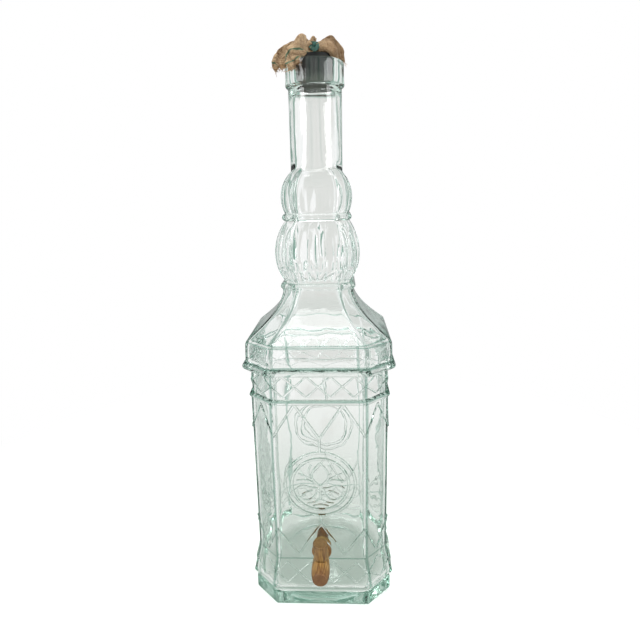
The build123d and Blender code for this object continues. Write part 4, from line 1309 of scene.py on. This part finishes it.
def corkMaterial():
    material, tree, output = newMaterial("naturalCork")
    solid = addNode(tree, "ShaderNodeTexCoord")
    grain = addNode(tree, "ShaderNodeTexVoronoi", {"Vector": solid.outputs["Object"], "Scale": 1 / (1.4 * millimetre)})
    pores = addNode(tree, "ShaderNodeTexNoise", {"Vector": solid.outputs["Object"], "Scale": 1 / (1.1 * millimetre),
                                                 "Detail": 3.0})
    hole = addNode(tree, "ShaderNodeMapRange", {"Value": pores.outputs["Fac"], "From Min": 0.58, "From Max": 0.68})
    base = addNode(tree, "ShaderNodeMix", {0: grain.outputs["Distance"], 6: linearColour("8C6238"),
                                           7: linearColour("A77E50")}, data_type="RGBA")
    tone = addNode(tree, "ShaderNodeMix", {0: hole.outputs[0], 6: base.outputs[2], 7: linearColour("5B3B22")},
                   data_type="RGBA")
    bump = addNode(tree, "ShaderNodeBump", {"Strength": 0.5, "Distance": 0.0004, "Height": hole.outputs[0]})
    bump.invert = True
    finish = addNode(tree, "ShaderNodeBsdfPrincipled", {"Base Color": tone.outputs[2], "Roughness": 0.8,
                                                        "Normal": bump.outputs[0]})
    tree.links.new(finish.outputs[0], output.inputs["Surface"])
    return material


def rubberMaterial():
    # Dark green rubber, paler towards its foot and nearly black towards its top, with patches of bloom and faint
    # moulding lines
    material, tree, output = newMaterial("greenRubber")
    solid = addNode(tree, "ShaderNodeTexCoord")
    split = addNode(tree, "ShaderNodeSeparateXYZ", {0: solid.outputs["Object"]})
    rise = addNode(tree, "ShaderNodeMapRange", {"Value": split.outputs["Z"], "From Min": 0.597, "From Max": 0.611},
                   interpolation_type="SMOOTHSTEP")
    bloom = addNode(tree, "ShaderNodeTexNoise", {"Vector": solid.outputs["Object"], "Scale": 160.0, "Detail": 4.0})
    patch = addNode(tree, "ShaderNodeMapRange", {"Value": bloom.outputs["Fac"], "From Min": 0.35, "From Max": 0.75,
                                                 "To Min": -0.15, "To Max": 0.15})
    share = addNode(tree, "ShaderNodeMath", {0: rise.outputs[0], 1: patch.outputs[0]}, use_clamp=True)
    tone = addNode(tree, "ShaderNodeMix", {0: share.outputs[0], 6: linearColour("3E4037"),
                                           7: linearColour("020303")}, data_type="RGBA")
    fine = addNode(tree, "ShaderNodeTexNoise", {"Vector": solid.outputs["Object"], "Scale": 1800.0, "Detail": 2.0})
    bump = addNode(tree, "ShaderNodeBump", {"Strength": 0.2, "Distance": 0.0002, "Height": fine.outputs["Fac"]})
    rough = addNode(tree, "ShaderNodeMapRange", {"Value": bloom.outputs["Fac"], "To Min": 0.45, "To Max": 0.75})
    finish = addNode(tree, "ShaderNodeBsdfPrincipled", {"Base Color": tone.outputs[2],
                                                        "Roughness": rough.outputs[0], "Normal": bump.outputs[0]})
    tree.links.new(finish.outputs[0], output.inputs["Surface"])
    return material


import time
clothStart = time.time()
buildCloth()
print("stage: cloth gathered and tied", round(time.time() - clothStart, 1))
buildRibbon()


# Each wood: light, middle and dark grain, and the stain towards its far end
bodyWood = woodMaterial("turnedWood", ("B38D55", "977039", "5E3F1B", "5A3219"), "Y", (17, 0, 64), (-114, -133), (-84, -77))
keyWood = woodMaterial("turnedKeyWood", ("B08E57", "8F6C3B", "583B1D", "4A2F1A"), "Z", (9, -112, 0), (99, 108))
cork = corkMaterial()
dressNode("tap_body", bodyWood)
dressNode("tap_key", keyWood)
dressNode("key_sleeve", cork)
dressNode("hole_bush", cork)
dressNode("stopper_plug", rubberMaterial())
print("stage: pieces dressed")
